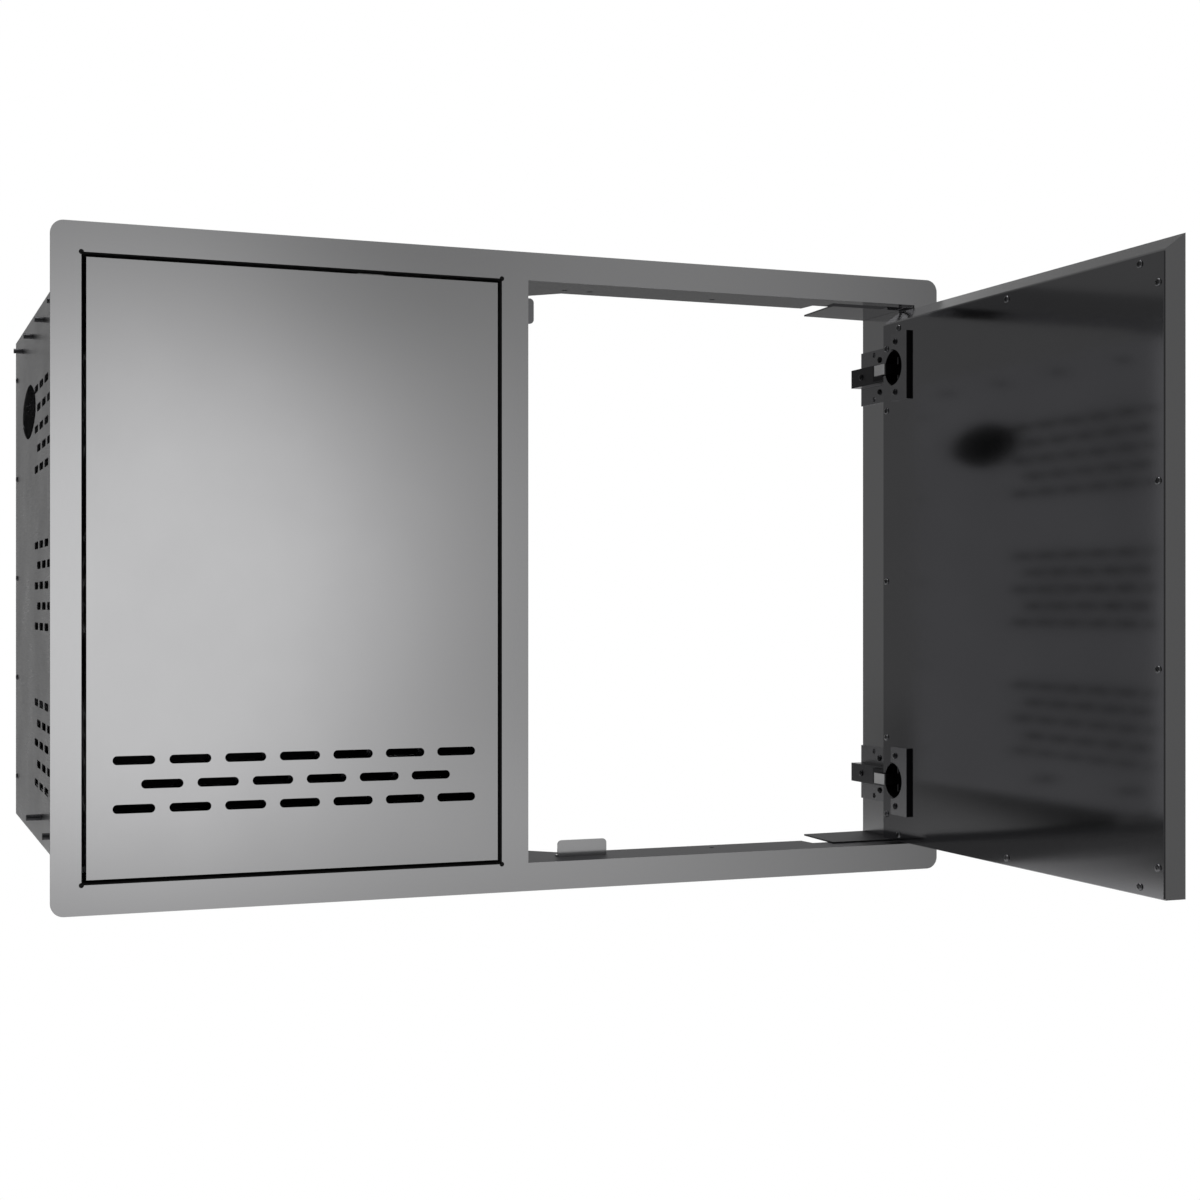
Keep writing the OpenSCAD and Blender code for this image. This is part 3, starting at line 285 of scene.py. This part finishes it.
def jamb_steel():
    """The hinge jamb: the same sheet as the flange, with a smooth tab above and a dull tab below darkened as
    painted shade.
    """
    tab_depth = 1.7 * MM
    material = new_material("stainless_304_hinge_jamb")
    tree = material.node_tree
    place = add(tree, "ShaderNodeTexCoord").outputs["Object"]
    height = add(tree, "ShaderNodeSeparateXYZ", {"Vector": place}).outputs["Z"]
    low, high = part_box("hinge_jamb")
    top = add(tree, "ShaderNodeMath", {0: height, 1: high[2] - tab_depth}, operation="GREATER_THAN").outputs[0]
    # The foot tab's dark tint is painted shade, like the frame's lower return
    foot = add(tree, "ShaderNodeMath", {0: height, 1: low[2] + tab_depth}, operation="LESS_THAN").outputs[0]
    stretched = add(tree, "ShaderNodeMapping", {"Vector": place, "Scale": UPRIGHT_GRAIN}).outputs["Vector"]
    grain = add(tree, "ShaderNodeTexNoise", {"Vector": stretched, "Scale": 1.0, "Detail": 2.0}).outputs["Fac"]
    gloss = add(tree, "ShaderNodeMapRange", {"Value": grain, "To Min": 0.13, "To Max": 0.17}).outputs["Result"]
    tint = POLISHED
    for share, region_tint, region_gloss in ((top, UNPOLISHED, 0.04), (foot, colour("#3c3c3e"), 0.6)):
        tint = add(tree, "ShaderNodeMix", {0: share, 6: tint, 7: region_tint}, data_type="RGBA").outputs[2]
        gloss = add(tree, "ShaderNodeMix", {0: share, 2: gloss, 3: region_gloss}).outputs[0]
    bump = add(tree, "ShaderNodeBump", {
        "Height": grain, "Strength": 0.25, "Distance": 0.003 * MM,
    }).outputs["Normal"]
    surface = add(tree, "ShaderNodeBsdfPrincipled", {
        "Base Color": tint, "Metallic": 1.0, "Roughness": gloss, "Normal": bump,
    })
    return finish_material(material, surface.outputs["BSDF"])


def rubber():
    """EPDM rubber of the drawer bay's seal, extruded: matt black with a faint bloom of talc. Its black is painted
    shade in the drawer's gap and relief holes.
    """
    material = new_material("black_epdm_rubber_as_shade")
    tree = material.node_tree
    place = add(tree, "ShaderNodeTexCoord").outputs["Object"]
    # The bloom lies in patches about 15 mm across
    bloom = add(tree, "ShaderNodeTexNoise", {"Vector": place, "Scale": 70.0, "Detail": 4.0}).outputs["Fac"]
    tint = add(tree, "ShaderNodeMix", {
        0: bloom, 6: colour("#0b0b0b"), 7: colour("#181818"),
    }, data_type="RGBA").outputs[2]
    surface = add(tree, "ShaderNodeBsdfPrincipled", {"Base Color": tint, "Roughness": 0.85})
    return finish_material(material, surface.outputs["BSDF"])


face_steel = frame_steel()
hinge_arm_steel = arm_steel()
hinge_plate_steel = hinge_steel()
shade_stand_in_rubber = rubber()

FINISH = {
    "face_frame": face_steel,
    "hinge_jamb": jamb_steel(),
    "lower_door_stop": satin_steel,
    "upper_door_stop": bracket_steel,
    "enclosure_left": sleeve_steel,
    "enclosure_right": sleeve_steel,
    "enclosure_top": sleeve_steel,
    "enclosure_bottom": sleeve_steel,
    "enclosure_rear": sleeve_steel,
    "door_skin": satin_steel,
    "door_liner": liner_steel,
    "drawer_skin": satin_steel,
    "drawer_liner": liner_steel,
    "tank_tray": tray_steel_painted_shade,
    "tank_dish": satin_steel,
    "front_brace_left": tray_steel_painted_shade,
    "front_brace_right": tray_steel_painted_shade,
    "top_flange_screws": sleeve_screw_steel,
    "rear_flange_screws": sleeve_screw_steel,
    "slide_bolts": sleeve_screw_steel,
    "upper_hinge_arm": hinge_arm_steel,
    "lower_hinge_arm": hinge_arm_steel,
}


def finish_for(name):
    """The material of a CAD piece: its own, or else the one for its kind."""
    if name in FINISH:
        return FINISH[name]
    if "screw" in name or "pin" in name:
        return screw_steel
    if "slide_" in name:
        return zinc_plate
    if "hinge_plate" in name or "hinge_cup" in name:
        return hinge_plate_steel
    return black_nickel


for name, thing in nodes.items():
    thing.data.materials.clear()
    thing.data.materials.append(finish_for(name))


# ---------------------------------------------------------------- screws

# Pan-head screws, in mm
HEAD_RADIUS, HEAD_HEIGHT, SHANK_RADIUS = 3.0, 1.5, 1.75
# The CAD's fastener nodes that get cross-recess heads, and the way their heads face
HEADS_FACE = {
    "door_liner_screws": "-X",
    "hinge_cup_screws": "-X",
    "hinge_plate_screws": "-X",
    "arm_screws": "-X",
    "drawer_liner_screws": "+Y",
    "brace_screws": "+Y",
    "tray_front_screws": "+Y",
}
# Turns a head that faces +Z
FACING = {"-X": Matrix.Rotation(-math.pi / 2, 3, "Y"), "+Y": Matrix.Rotation(-math.pi / 2, 3, "X")}
BODY_OF = {member: body for body, members in frame["record"]["behaviour"]["bodies"].items() for member in members}


def solid_islands(name):
    """The lowest and highest corner of each separate solid in a CAD node, from its merged copy."""
    work = bmesh.new()
    work.from_mesh(nodes[name].data)
    bmesh.ops.remove_doubles(work, verts=work.verts, dist=1e-6)
    work.verts.ensure_lookup_table()
    seen, found = set(), []
    for start in work.verts:
        if start.index in seen:
            continue
        stack, island = [start], []
        seen.add(start.index)
        while stack:
            vert = stack.pop()
            island.append(vert.co.copy())
            for edge in vert.link_edges:
                other = edge.other_vert(vert)
                if other.index not in seen:
                    seen.add(other.index)
                    stack.append(other)
        low = Vector([min(p[i] for p in island) for i in range(3)])
        high = Vector([max(p[i] for p in island) for i in range(3)])
        found.append((low, high))
    work.free()
    return sorted(found, key=lambda pair: tuple(round(c, 5) for c in pair[0]))


def revolve(work, profile, steps=20):
    """Adds a closed turned form about +Z from (radius, height) pairs that start and end on the axis."""
    rings = []
    for radius, height in profile:
        if radius == 0:
            rings.append([work.verts.new((0, 0, height))])
        else:
            rings.append([
                work.verts.new((
                    radius * math.cos(2 * math.pi * i / steps),
                    radius * math.sin(2 * math.pi * i / steps),
                    height,
                ))
                for i in range(steps)
            ])
    for lower, upper in zip(rings, rings[1:]):
        for i in range(steps):
            j = (i + 1) % steps
            corners = [lower[i % len(lower)], lower[j % len(lower)], upper[j % len(upper)], upper[i % len(upper)]]
            corners = list(dict.fromkeys(corners))
            if len(corners) > 2:
                work.faces.new(corners)


def screw_form(name, shank_r, shank_l, head_r, head_h):
    """A pan head with a cross recess on a shank, head towards +Z, seat at zero."""
    work = bmesh.new()
    revolve(work, [
        (0, -shank_l), (shank_r * 0.7, -shank_l), (shank_r, -shank_l + shank_r * 0.3), (shank_r, 0),
        (head_r, 0), (head_r, head_h * 0.35), (head_r * 0.93, head_h * 0.68), (head_r * 0.75, head_h * 0.9),
        (head_r * 0.45, head_h), (0, head_h),
    ])
    bmesh.ops.recalc_face_normals(work, faces=work.faces)
    head = bpy.data.meshes.new(name)
    work.to_mesh(head)
    work.free()
    thing = bpy.data.objects.new(name, head)
    bpy.context.scene.collection.objects.link(thing)
    # The cross recess is cut by two crossing bars
    cutter = bmesh.new()
    for turn in (0, math.pi / 2):
        made = bmesh.ops.create_cube(cutter, size=1.0)["verts"]
        bmesh.ops.scale(cutter, vec=(head_r * 1.1, head_r * 0.24, head_h * 0.9), verts=made)
        bmesh.ops.translate(cutter, vec=(0, 0, head_h), verts=made)
        bmesh.ops.rotate(cutter, cent=(0, 0, 0), matrix=Matrix.Rotation(turn, 3, "Z"), verts=made)
    tool_mesh = bpy.data.meshes.new(name + "_recess")
    cutter.to_mesh(tool_mesh)
    cutter.free()
    tool = bpy.data.objects.new(name + "_recess", tool_mesh)
    bpy.context.scene.collection.objects.link(tool)
    cut = thing.modifiers.new("recess", "BOOLEAN")
    cut.object, cut.operation, cut.solver = tool, "DIFFERENCE", "EXACT"
    cut.use_self = True
    depsgraph = bpy.context.evaluated_depsgraph_get()
    result = bpy.data.meshes.new_from_object(thing.evaluated_get(depsgraph))
    bpy.data.objects.remove(thing)
    bpy.data.objects.remove(tool)
    return bpy.data.objects.new(name, result)


def scatter_tree(name):
    """Sets one form on each point, turned by the point's own rotation, and gives it a material."""
    tree = bpy.data.node_groups.new(name, "GeometryNodeTree")
    tree.interface.new_socket("Geometry", in_out="INPUT", socket_type="NodeSocketGeometry")
    tree.interface.new_socket("Form", in_out="INPUT", socket_type="NodeSocketObject")
    tree.interface.new_socket("Finish", in_out="INPUT", socket_type="NodeSocketMaterial")
    tree.interface.new_socket("Size", in_out="INPUT", socket_type="NodeSocketFloat")
    tree.interface.new_socket("Geometry", in_out="OUTPUT", socket_type="NodeSocketGeometry")
    given = add(tree, "NodeGroupInput")
    form = add(tree, "GeometryNodeObjectInfo", {"Object": given.outputs["Form"]})
    turn = add(tree, "GeometryNodeInputNamedAttribute", {"Name": "turn"}, data_type="FLOAT_VECTOR")
    rotation = add(tree, "FunctionNodeEulerToRotation", {"Euler": turn.outputs["Attribute"]})
    placed = add(tree, "GeometryNodeInstanceOnPoints", {
        "Points": given.outputs["Geometry"],
        "Instance": form.outputs["Geometry"],
        "Rotation": rotation.outputs["Rotation"],
        "Scale": given.outputs["Size"],
    })
    real = add(tree, "GeometryNodeRealizeInstances", {"Geometry": placed.outputs["Instances"]})
    done = add(tree, "GeometryNodeSetMaterial", {
        "Geometry": real.outputs["Geometry"], "Material": given.outputs["Finish"],
    })
    add(tree, "NodeGroupOutput", {"Geometry": done.outputs["Geometry"]})
    return tree


def set_modifier(modifier, **values):
    """Sets a node group's named inputs by their socket identifiers."""
    for item in modifier.node_group.interface.items_tree:
        if item.in_out == "INPUT" and item.name in values:
            modifier[item.identifier] = values[item.name]


def scatter(name, form, finish, spots):
    """One plain mesh of the form at each spot: a place and a turn."""
    mesh = bpy.data.meshes.new(name)
    mesh.from_pydata([spot for spot, turn in spots], [], [])
    turns = mesh.attributes.new("turn", "FLOAT_VECTOR", "POINT")
    for i, (spot, turn) in enumerate(spots):
        turns.data[i].vector = turn
    holder = bpy.data.objects.new(name, mesh)
    bpy.context.scene.collection.objects.link(holder)
    bpy.context.scene.collection.objects.link(form)
    modifier = holder.modifiers.new("screws", "NODES")
    modifier.node_group = SET_SCREWS
    set_modifier(modifier, Form=form, Finish=finish, Size=1.0)
    depsgraph = bpy.context.evaluated_depsgraph_get()
    result = bpy.data.meshes.new_from_object(holder.evaluated_get(depsgraph))
    bpy.data.objects.remove(holder)
    bpy.data.objects.remove(form)
    piece = bpy.data.objects.new(name, result)
    bpy.context.scene.collection.objects.link(piece)
    return piece


def dress_screws(name, faces):
    """Replaces one CAD fastener node by screws with cross-recess heads, where its own screws are."""
    axis, sign = faces[1], 1 if faces[0] == "+" else -1
    k = "XYZ".index(axis)
    spots, shank_length = [], 0
    for i, (low, high) in enumerate(solid_islands(name)):
        seat = (low + high) / 2
        top = high[k] if sign > 0 else low[k]
        seat[k] = top - sign * HEAD_HEIGHT * MM
        shank_length = (high[k] - low[k]) / MM - HEAD_HEIGHT
        # Each screw stopped at its own angle, 0.7 radians on from the last
        turn = (Matrix.Rotation(0.7 * i, 3, axis) @ FACING[faces]).to_euler()
        spots.append((tuple(seat), tuple(turn)))
    form = screw_form(name + "_form", SHANK_RADIUS * MM, shank_length * MM, HEAD_RADIUS * MM, HEAD_HEIGHT * MM)
    finish = black_nickel if "hinge" in name or "arm" in name else screw_steel
    piece = scatter(name.replace("screws", "cross_head_screws"), form, finish, spots)
    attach(piece, BODY_OF[name])
    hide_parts(name)


SET_SCREWS = scatter_tree("set_screws")
for name, faces in HEADS_FACE.items():
    dress_screws(name, faces)


# ---------------------------------------------------------------- seal and corner fills

# The bays' edges, in mm
DRAWER_BAY_X, DOOR_BAY_X, BAY_Z = (-394.0, -28.5), (-3.5, 394.0), (25.0, 542.0)


def mesh_piece(name, work, finish, body):
    """Makes the work mesh a piece that rides on a body."""
    bmesh.ops.recalc_face_normals(work, faces=work.faces)
    mesh = bpy.data.meshes.new(name)
    work.to_mesh(mesh)
    work.free()
    piece = bpy.data.objects.new(name, mesh)
    bpy.context.scene.collection.objects.link(piece)
    mesh.materials.append(finish)
    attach(piece, body)


def skin_rings(work, rings):
    """Faces between each ring of vertices and the next."""
    for ring, following in zip(rings, rings[1:]):
        for i in range(len(ring)):
            j = (i + 1) % len(ring)
            work.faces.new((ring[i], ring[j], following[j], following[i]))


def drawer_gap_shade_seal():
    """A half-round black rubber seal on the drawer bay's four returns, just behind the flange, set there as
    painted shade in the drawer's gap. Sizes in mm.
    """
    start, width, rise, lip, steps = 0.8, 10.0, 1.4, 0.3, 10
    profile = [(start, 0.0)]
    for i in range(steps + 1):
        turn = math.pi * i / steps
        profile.append((
            start + width / 2 - width / 2 * math.cos(turn),
            lip + (rise - lip) * math.sin(turn) ** 0.5,
        ))
    profile.append((start + width, 0.0))
    left, right, bottom, top = *DRAWER_BAY_X, *BAY_Z
    corners = (left, bottom, 1, 1), (right, bottom, -1, 1), (right, top, -1, -1), (left, top, 1, -1)
    work = bmesh.new()
    rings = [
        [work.verts.new(((x + in_x * high) * MM, y * MM, (z + in_z * high) * MM)) for y, high in profile]
        for x, z, in_x, in_z in corners
    ]
    skin_rings(work, rings + rings[:1])
    mesh_piece("drawer_bay_seal", work, shade_stand_in_rubber, "root")


def corner_bead(work, corner, outward, length):
    """A bead behind the flange where two returns meet, rippled and drawn in at both ends. Sizes in mm."""
    radius, inset, start, around, steps = 1.75, 0.95, 0.4, 10, int(length * 1.25)
    ripple_depth, ripple_length, front_end, back_end, thinnest = 0.12, 1.6, 1.5, 6.0, 0.02
    rings = []
    for n in range(steps + 1):
        share = n / steps
        ripple = ripple_depth * math.cos(2 * math.pi * share * length / ripple_length)
        taper = min(1.0, share * length / front_end, (1 - share) * length / back_end) ** 0.5
        r = (radius + ripple) * max(taper, thinnest)
        rings.append([
            work.verts.new((
                (corner[0] + outward[0] * inset + r * math.cos(2 * math.pi * a / around)) * MM,
                (start + share * length) * MM,
                (corner[1] + outward[1] * inset + r * math.sin(2 * math.pi * a / around)) * MM,
            ))
            for a in range(around)
        ])
    skin_rings(work, rings)
    work.faces.new(rings[0])
    work.faces.new(rings[-1])


def relief_plug(work, corner, outward, front):
    """Three quarters of a disc in a bend relief: the quarter in the bay's opening is left out. Sizes in mm."""
    radius, back, steps = 2.08, 0.3, 24
    arc = [-math.pi / 2 + 1.5 * math.pi * n / steps for n in range(steps + 1)]
    outline = [(0.0, 0.0)] + [(radius * math.cos(t), radius * math.sin(t)) for t in arc]
    levels = [
        [
            work.verts.new(((corner[0] + outward[0] * u) * MM, y * MM, (corner[1] + outward[1] * v) * MM))
            for u, v in outline
        ]
        for y in (front, back)
    ]
    skin_rings(work, levels)
    work.faces.new(levels[0])
    work.faces.new(levels[1])


def corner_fills():
    """Fills the bend reliefs at the bays' corners: black sealant round the drawer as painted shade in its reliefs,
    set back behind the flange's front, and weld round the door, ground flush with it. Each has a bead behind the
    flange."""
    for i, x in enumerate(DRAWER_BAY_X + DOOR_BAY_X):
        for z, level in zip(BAY_Z, ("low", "high")):
            corner = x, z
            outward = (-1 if i % 2 == 0 else 1), (-1 if level == "low" else 1)
            work = bmesh.new()
            if i < 2:
                corner_bead(work, corner, outward, length=11.0)
                relief_plug(work, corner, outward, front=-0.7)
                mesh_piece("corner_sealant_%d_%s" % (i + 1, level), work, shade_stand_in_rubber, "root")
            else:
                corner_bead(work, corner, outward, length=48.0)
                relief_plug(work, corner, outward, front=-1.49)
                mesh_piece("corner_weld_%d_%s" % (i + 1, level), work, face_steel, "root")


drawer_gap_shade_seal()
corner_fills()


# ---------------------------------------------------------------- floor, light and camera


def stage_floor():
    """A plain white floor. The unit hangs in an island's wall, so the floor lies below it."""
    radius, depth, middle, foot = 4.0, -0.75, (0.81, 2.49), (0, 0.28)
    work = bmesh.new()
    bmesh.ops.create_circle(work, cap_ends=True, segments=128, radius=radius)
    bmesh.ops.translate(work, vec=(*middle, depth), verts=work.verts)
    mesh = bpy.data.meshes.new("floor")
    work.to_mesh(mesh)
    work.free()
    floor = bpy.data.objects.new("floor", mesh)
    bpy.context.scene.collection.objects.link(floor)
    material = new_material("white_paper_floor")
    tree = material.node_tree
    path = add(tree, "ShaderNodeLightPath").outputs
    seen = add(tree, "ShaderNodeMath", {
        0: path["Is Camera Ray"], 1: path["Is Glossy Ray"],
    }, operation="ADD").outputs[0]
    seen = add(tree, "ShaderNodeMath", {
        0: seen, 1: path["Is Transmission Ray"],
    }, operation="ADD", use_clamp=True).outputs[0]
    # Under the unit about a third of the white is lit and keeps the shadow. Far from it the paper is plain white
    place = add(tree, "ShaderNodeTexCoord").outputs["Object"]
    away = add(tree, "ShaderNodeVectorMath", {0: place, 1: (*foot, depth)}, operation="DISTANCE").outputs["Value"]
    own_share = add(tree, "ShaderNodeMapRange", {
        "Value": away, "From Min": 0.45, "From Max": 1.03, "To Min": 0.65, "To Max": 1.0,
    }, interpolation_type="SMOOTHSTEP").outputs["Result"]
    share = add(tree, "ShaderNodeMath", {0: seen, 1: own_share}, operation="MULTIPLY").outputs[0]
    lit = add(tree, "ShaderNodeBsdfDiffuse", {"Color": colour("#f4f4f4")}).outputs[0]
    own = add(tree, "ShaderNodeEmission", {"Color": colour("#ffffff"), "Strength": 1.0}).outputs[0]
    mix = add(tree, "ShaderNodeMixShader", {0: share, 1: lit, 2: own}).outputs[0]
    floor.data.materials.append(finish_material(material, mix))


def studio_world():
    """A studio as every ray sees it: white backdrop behind the unit, one round soft light in front of it,
    a weaker low band of light, a soft ceiling, and dim grey walls elsewhere. All angles are in degrees."""
    world = bpy.data.worlds.new("studio")
    world.use_nodes = True
    tree = world.node_tree
    tree.nodes.clear()

    direction = add(tree, "ShaderNodeTexCoord").outputs["Generated"]
    parts = add(tree, "ShaderNodeSeparateXYZ", {"Vector": direction}).outputs
    # The round light's middle, 8.5 degrees right of straight ahead of the unit's front
    aside, up = math.radians(8.5), 0.014
    light = (math.sin(aside), -math.cos(aside), up)
    near = add(tree, "ShaderNodeVectorMath", {0: direction, 1: light}, operation="DOT_PRODUCT").outputs["Value"]
    known = {"x": parts["X"], "y": parts["Y"], "z": parts["Z"], "near": near}
    degrees = 180 / math.pi

    # Each row is one node: the value that it makes, its operation, and its inputs: numbers, or values made before.
    # SMOOTHSTEP takes a value, the two ends that it runs between, and what it gives at each end
    rows = [
        # Angles upwards, and to the right seen from above: from straight ahead, and from straight behind
        ("height", "ARCSINE", "z"),
        ("height", "MULTIPLY", "height", degrees),
        ("ahead", "MULTIPLY", "y", -1.0),
        ("front", "ARCTAN2", "x", "ahead"),
        ("front", "MULTIPLY", "front", degrees),
        ("back", "ARCTAN2", "x", "y"),
        ("back", "MULTIPLY", "back", degrees),
        ("from_light", "ARCCOSINE", "near"),
        ("from_light", "MULTIPLY", "from_light", degrees),
    ]
    # Flat-topped hills: the angle that each lies across, its middle, half width, steepness and height.
    # They are the round light, the low band, and a share taken off high on the right
    for name, across, middle, half_width, steepness, high in (
        ("glow", "from_light", 0.0, 8.4, 6.5, 0.68),
        ("band", "height", -6.9, 1.9, 4.0, 0.17),
        ("dip", "front", 17.0, 3.8, 4.0, 0.3),
    ):
        rows += [
            (name, "SUBTRACT", across, middle),
            (name, "ABSOLUTE", name),
            (name, "DIVIDE", name, half_width),
            (name, "POWER", name, steepness),
            (name, "ADD", 1.0, name),
            (name, "DIVIDE", high, name),
        ]
    rows += [
        # The band is only in front of the unit
        ("beside", "SUBTRACT", "front", 13.0),
        ("beside", "ABSOLUTE", "beside"),
        ("beside", "SMOOTHSTEP", "beside", 9.0, 16.0, 1.0, 0.0),
        ("band", "MULTIPLY", "band", "beside"),
        # Walls: 0.15, brighter in front of the unit and a little darker above eye height there
        ("wall", "SUBTRACT", "front", 4.0),
        ("wall", "ABSOLUTE", "wall"),
        ("wall", "SMOOTHSTEP", "wall", 24.0, 34.0, 1.0, 0.0),
        ("wall_height", "SMOOTHSTEP", "height", 3.0, 9.0, 0.25, 0.19),
        ("wall", "MULTIPLY", "wall", "wall_height"),
        ("wall", "ADD", "wall", 0.15),
        ("ceiling", "SMOOTHSTEP", "height", 40.0, 70.0, 0.0, 0.5),
        ("studio", "ADD", "wall", "ceiling"),
        ("studio", "ADD", "studio", "glow"),
        ("studio", "ADD", "studio", "band"),
        # The dip is a dim patch above the band on the right, which the top of the face mirrors
        ("dip_height", "SMOOTHSTEP", "height", 7.5, 9.5, 0.0, 1.0),
        ("dip", "MULTIPLY", "dip", "dip_height"),
        ("dip", "SUBTRACT", 1.0, "dip"),
        ("studio", "MULTIPLY", "studio", "dip"),
        # Behind on the left, below the unit: black, and lighter ground under a sloping edge. The open door
        # mirrors both
        ("left", "MULTIPLY", "back", -1.0),
        ("patch", "SMOOTHSTEP", "left", 32.0, 34.5, 0.0, 1.0),
        ("patch_end", "SMOOTHSTEP", "left", 46.0, 60.0, 1.0, 0.0),
        ("patch", "MULTIPLY", "patch", "patch_end"),
        ("edge", "MULTIPLY", "left", 0.3),
        ("edge", "SUBTRACT", 4.3, "edge"),
        ("over", "SUBTRACT", "height", "edge"),
        ("over", "SMOOTHSTEP", "over", -0.25, 0.35, 0.0, 1.0),
        ("black", "SMOOTHSTEP", "height", -4.0, -2.5, 0.95, 0.0),
        ("black", "MULTIPLY", "black", "over"),
        ("black", "MULTIPLY", "black", "patch"),
        ("black", "SUBTRACT", 1.0, "black"),
        ("studio", "MULTIPLY", "studio", "black"),
        ("under", "SUBTRACT", 1.0, "over"),
        ("ground", "SMOOTHSTEP", "height", -14.0, -10.0, 0.0, 0.08),
        ("ground", "MULTIPLY", "ground", "under"),
        ("ground", "MULTIPLY", "ground", "patch"),
        ("studio", "ADD", "studio", "ground"),
        # The white backdrop covers the photograph's view. Its lower edge lies behind the floor's far edge
        ("backdrop", "SMOOTHSTEP", "back", -14.0, 3.0, 0.0, 1.0),
        ("backdrop_right", "SMOOTHSTEP", "back", 48.0, 62.0, 1.0, 0.0),
        ("backdrop_top", "SMOOTHSTEP", "height", 20.0, 30.0, 1.0, 0.0),
        ("backdrop_foot", "SMOOTHSTEP", "height", -8.6, -7.8, 0.0, 1.0),
        ("backdrop", "MULTIPLY", "backdrop", "backdrop_right"),
        ("backdrop", "MULTIPLY", "backdrop", "backdrop_top"),
        ("backdrop", "MULTIPLY", "backdrop", "backdrop_foot"),
        ("white", "SUBTRACT", 1.0, "studio"),
        ("white", "MULTIPLY", "white", "backdrop"),
        ("studio", "ADD", "studio", "white"),
    ]
    for name, operation, *inputs in rows:
        inputs = dict(enumerate(known.get(item, item) for item in inputs))
        if operation == "SMOOTHSTEP":
            node = add(tree, "ShaderNodeMapRange", inputs, interpolation_type=operation)
        else:
            node = add(tree, "ShaderNodeMath", inputs, operation=operation)
        known[name] = node.outputs[0]
    surface = add(tree, "ShaderNodeBackground", {"Color": colour("#ffffff"), "Strength": known["studio"]})
    add(tree, "ShaderNodeOutputWorld", {"Surface": surface.outputs[0]})
    bpy.context.scene.world = world


def overhead_softbox():
    """One soft lamp overhead, which draws the floor's shadow."""
    place, target = Vector((0.1, 0.2, 2.6)), Vector((0, 0.2, 0))
    data = bpy.data.lights.new("overhead_softbox", "AREA")
    data.shape, data.size, data.energy = "DISK", 1.4, 35.0
    softbox = bpy.data.objects.new("overhead_softbox", data)
    bpy.context.scene.collection.objects.link(softbox)
    softbox.location = place
    softbox.rotation_euler = (target - place).to_track_quat("-Z", "Y").to_euler()


def photo_camera():
    """The camera fitted to the photograph's edges, for a square picture."""
    turned_right = math.radians(19.273)
    data = bpy.data.cameras.new("photo_camera")
    data.sensor_width, data.lens = 36.0, 53.54
    data.shift_x, data.shift_y = 0.10812, 0.00513
    data.clip_start, data.clip_end = 0.05, 50.0
    camera = bpy.data.objects.new("photo_camera", data)
    bpy.context.scene.collection.objects.link(camera)
    camera.location = (-574.96 * MM, -1479.57 * MM, 252.84 * MM)
    camera.rotation_euler = (math.radians(90), 0, -turned_right)
    bpy.context.scene.camera = camera


stage_floor()
studio_world()
overhead_softbox()
photo_camera()
bpy.context.scene.view_settings.view_transform = "Standard"
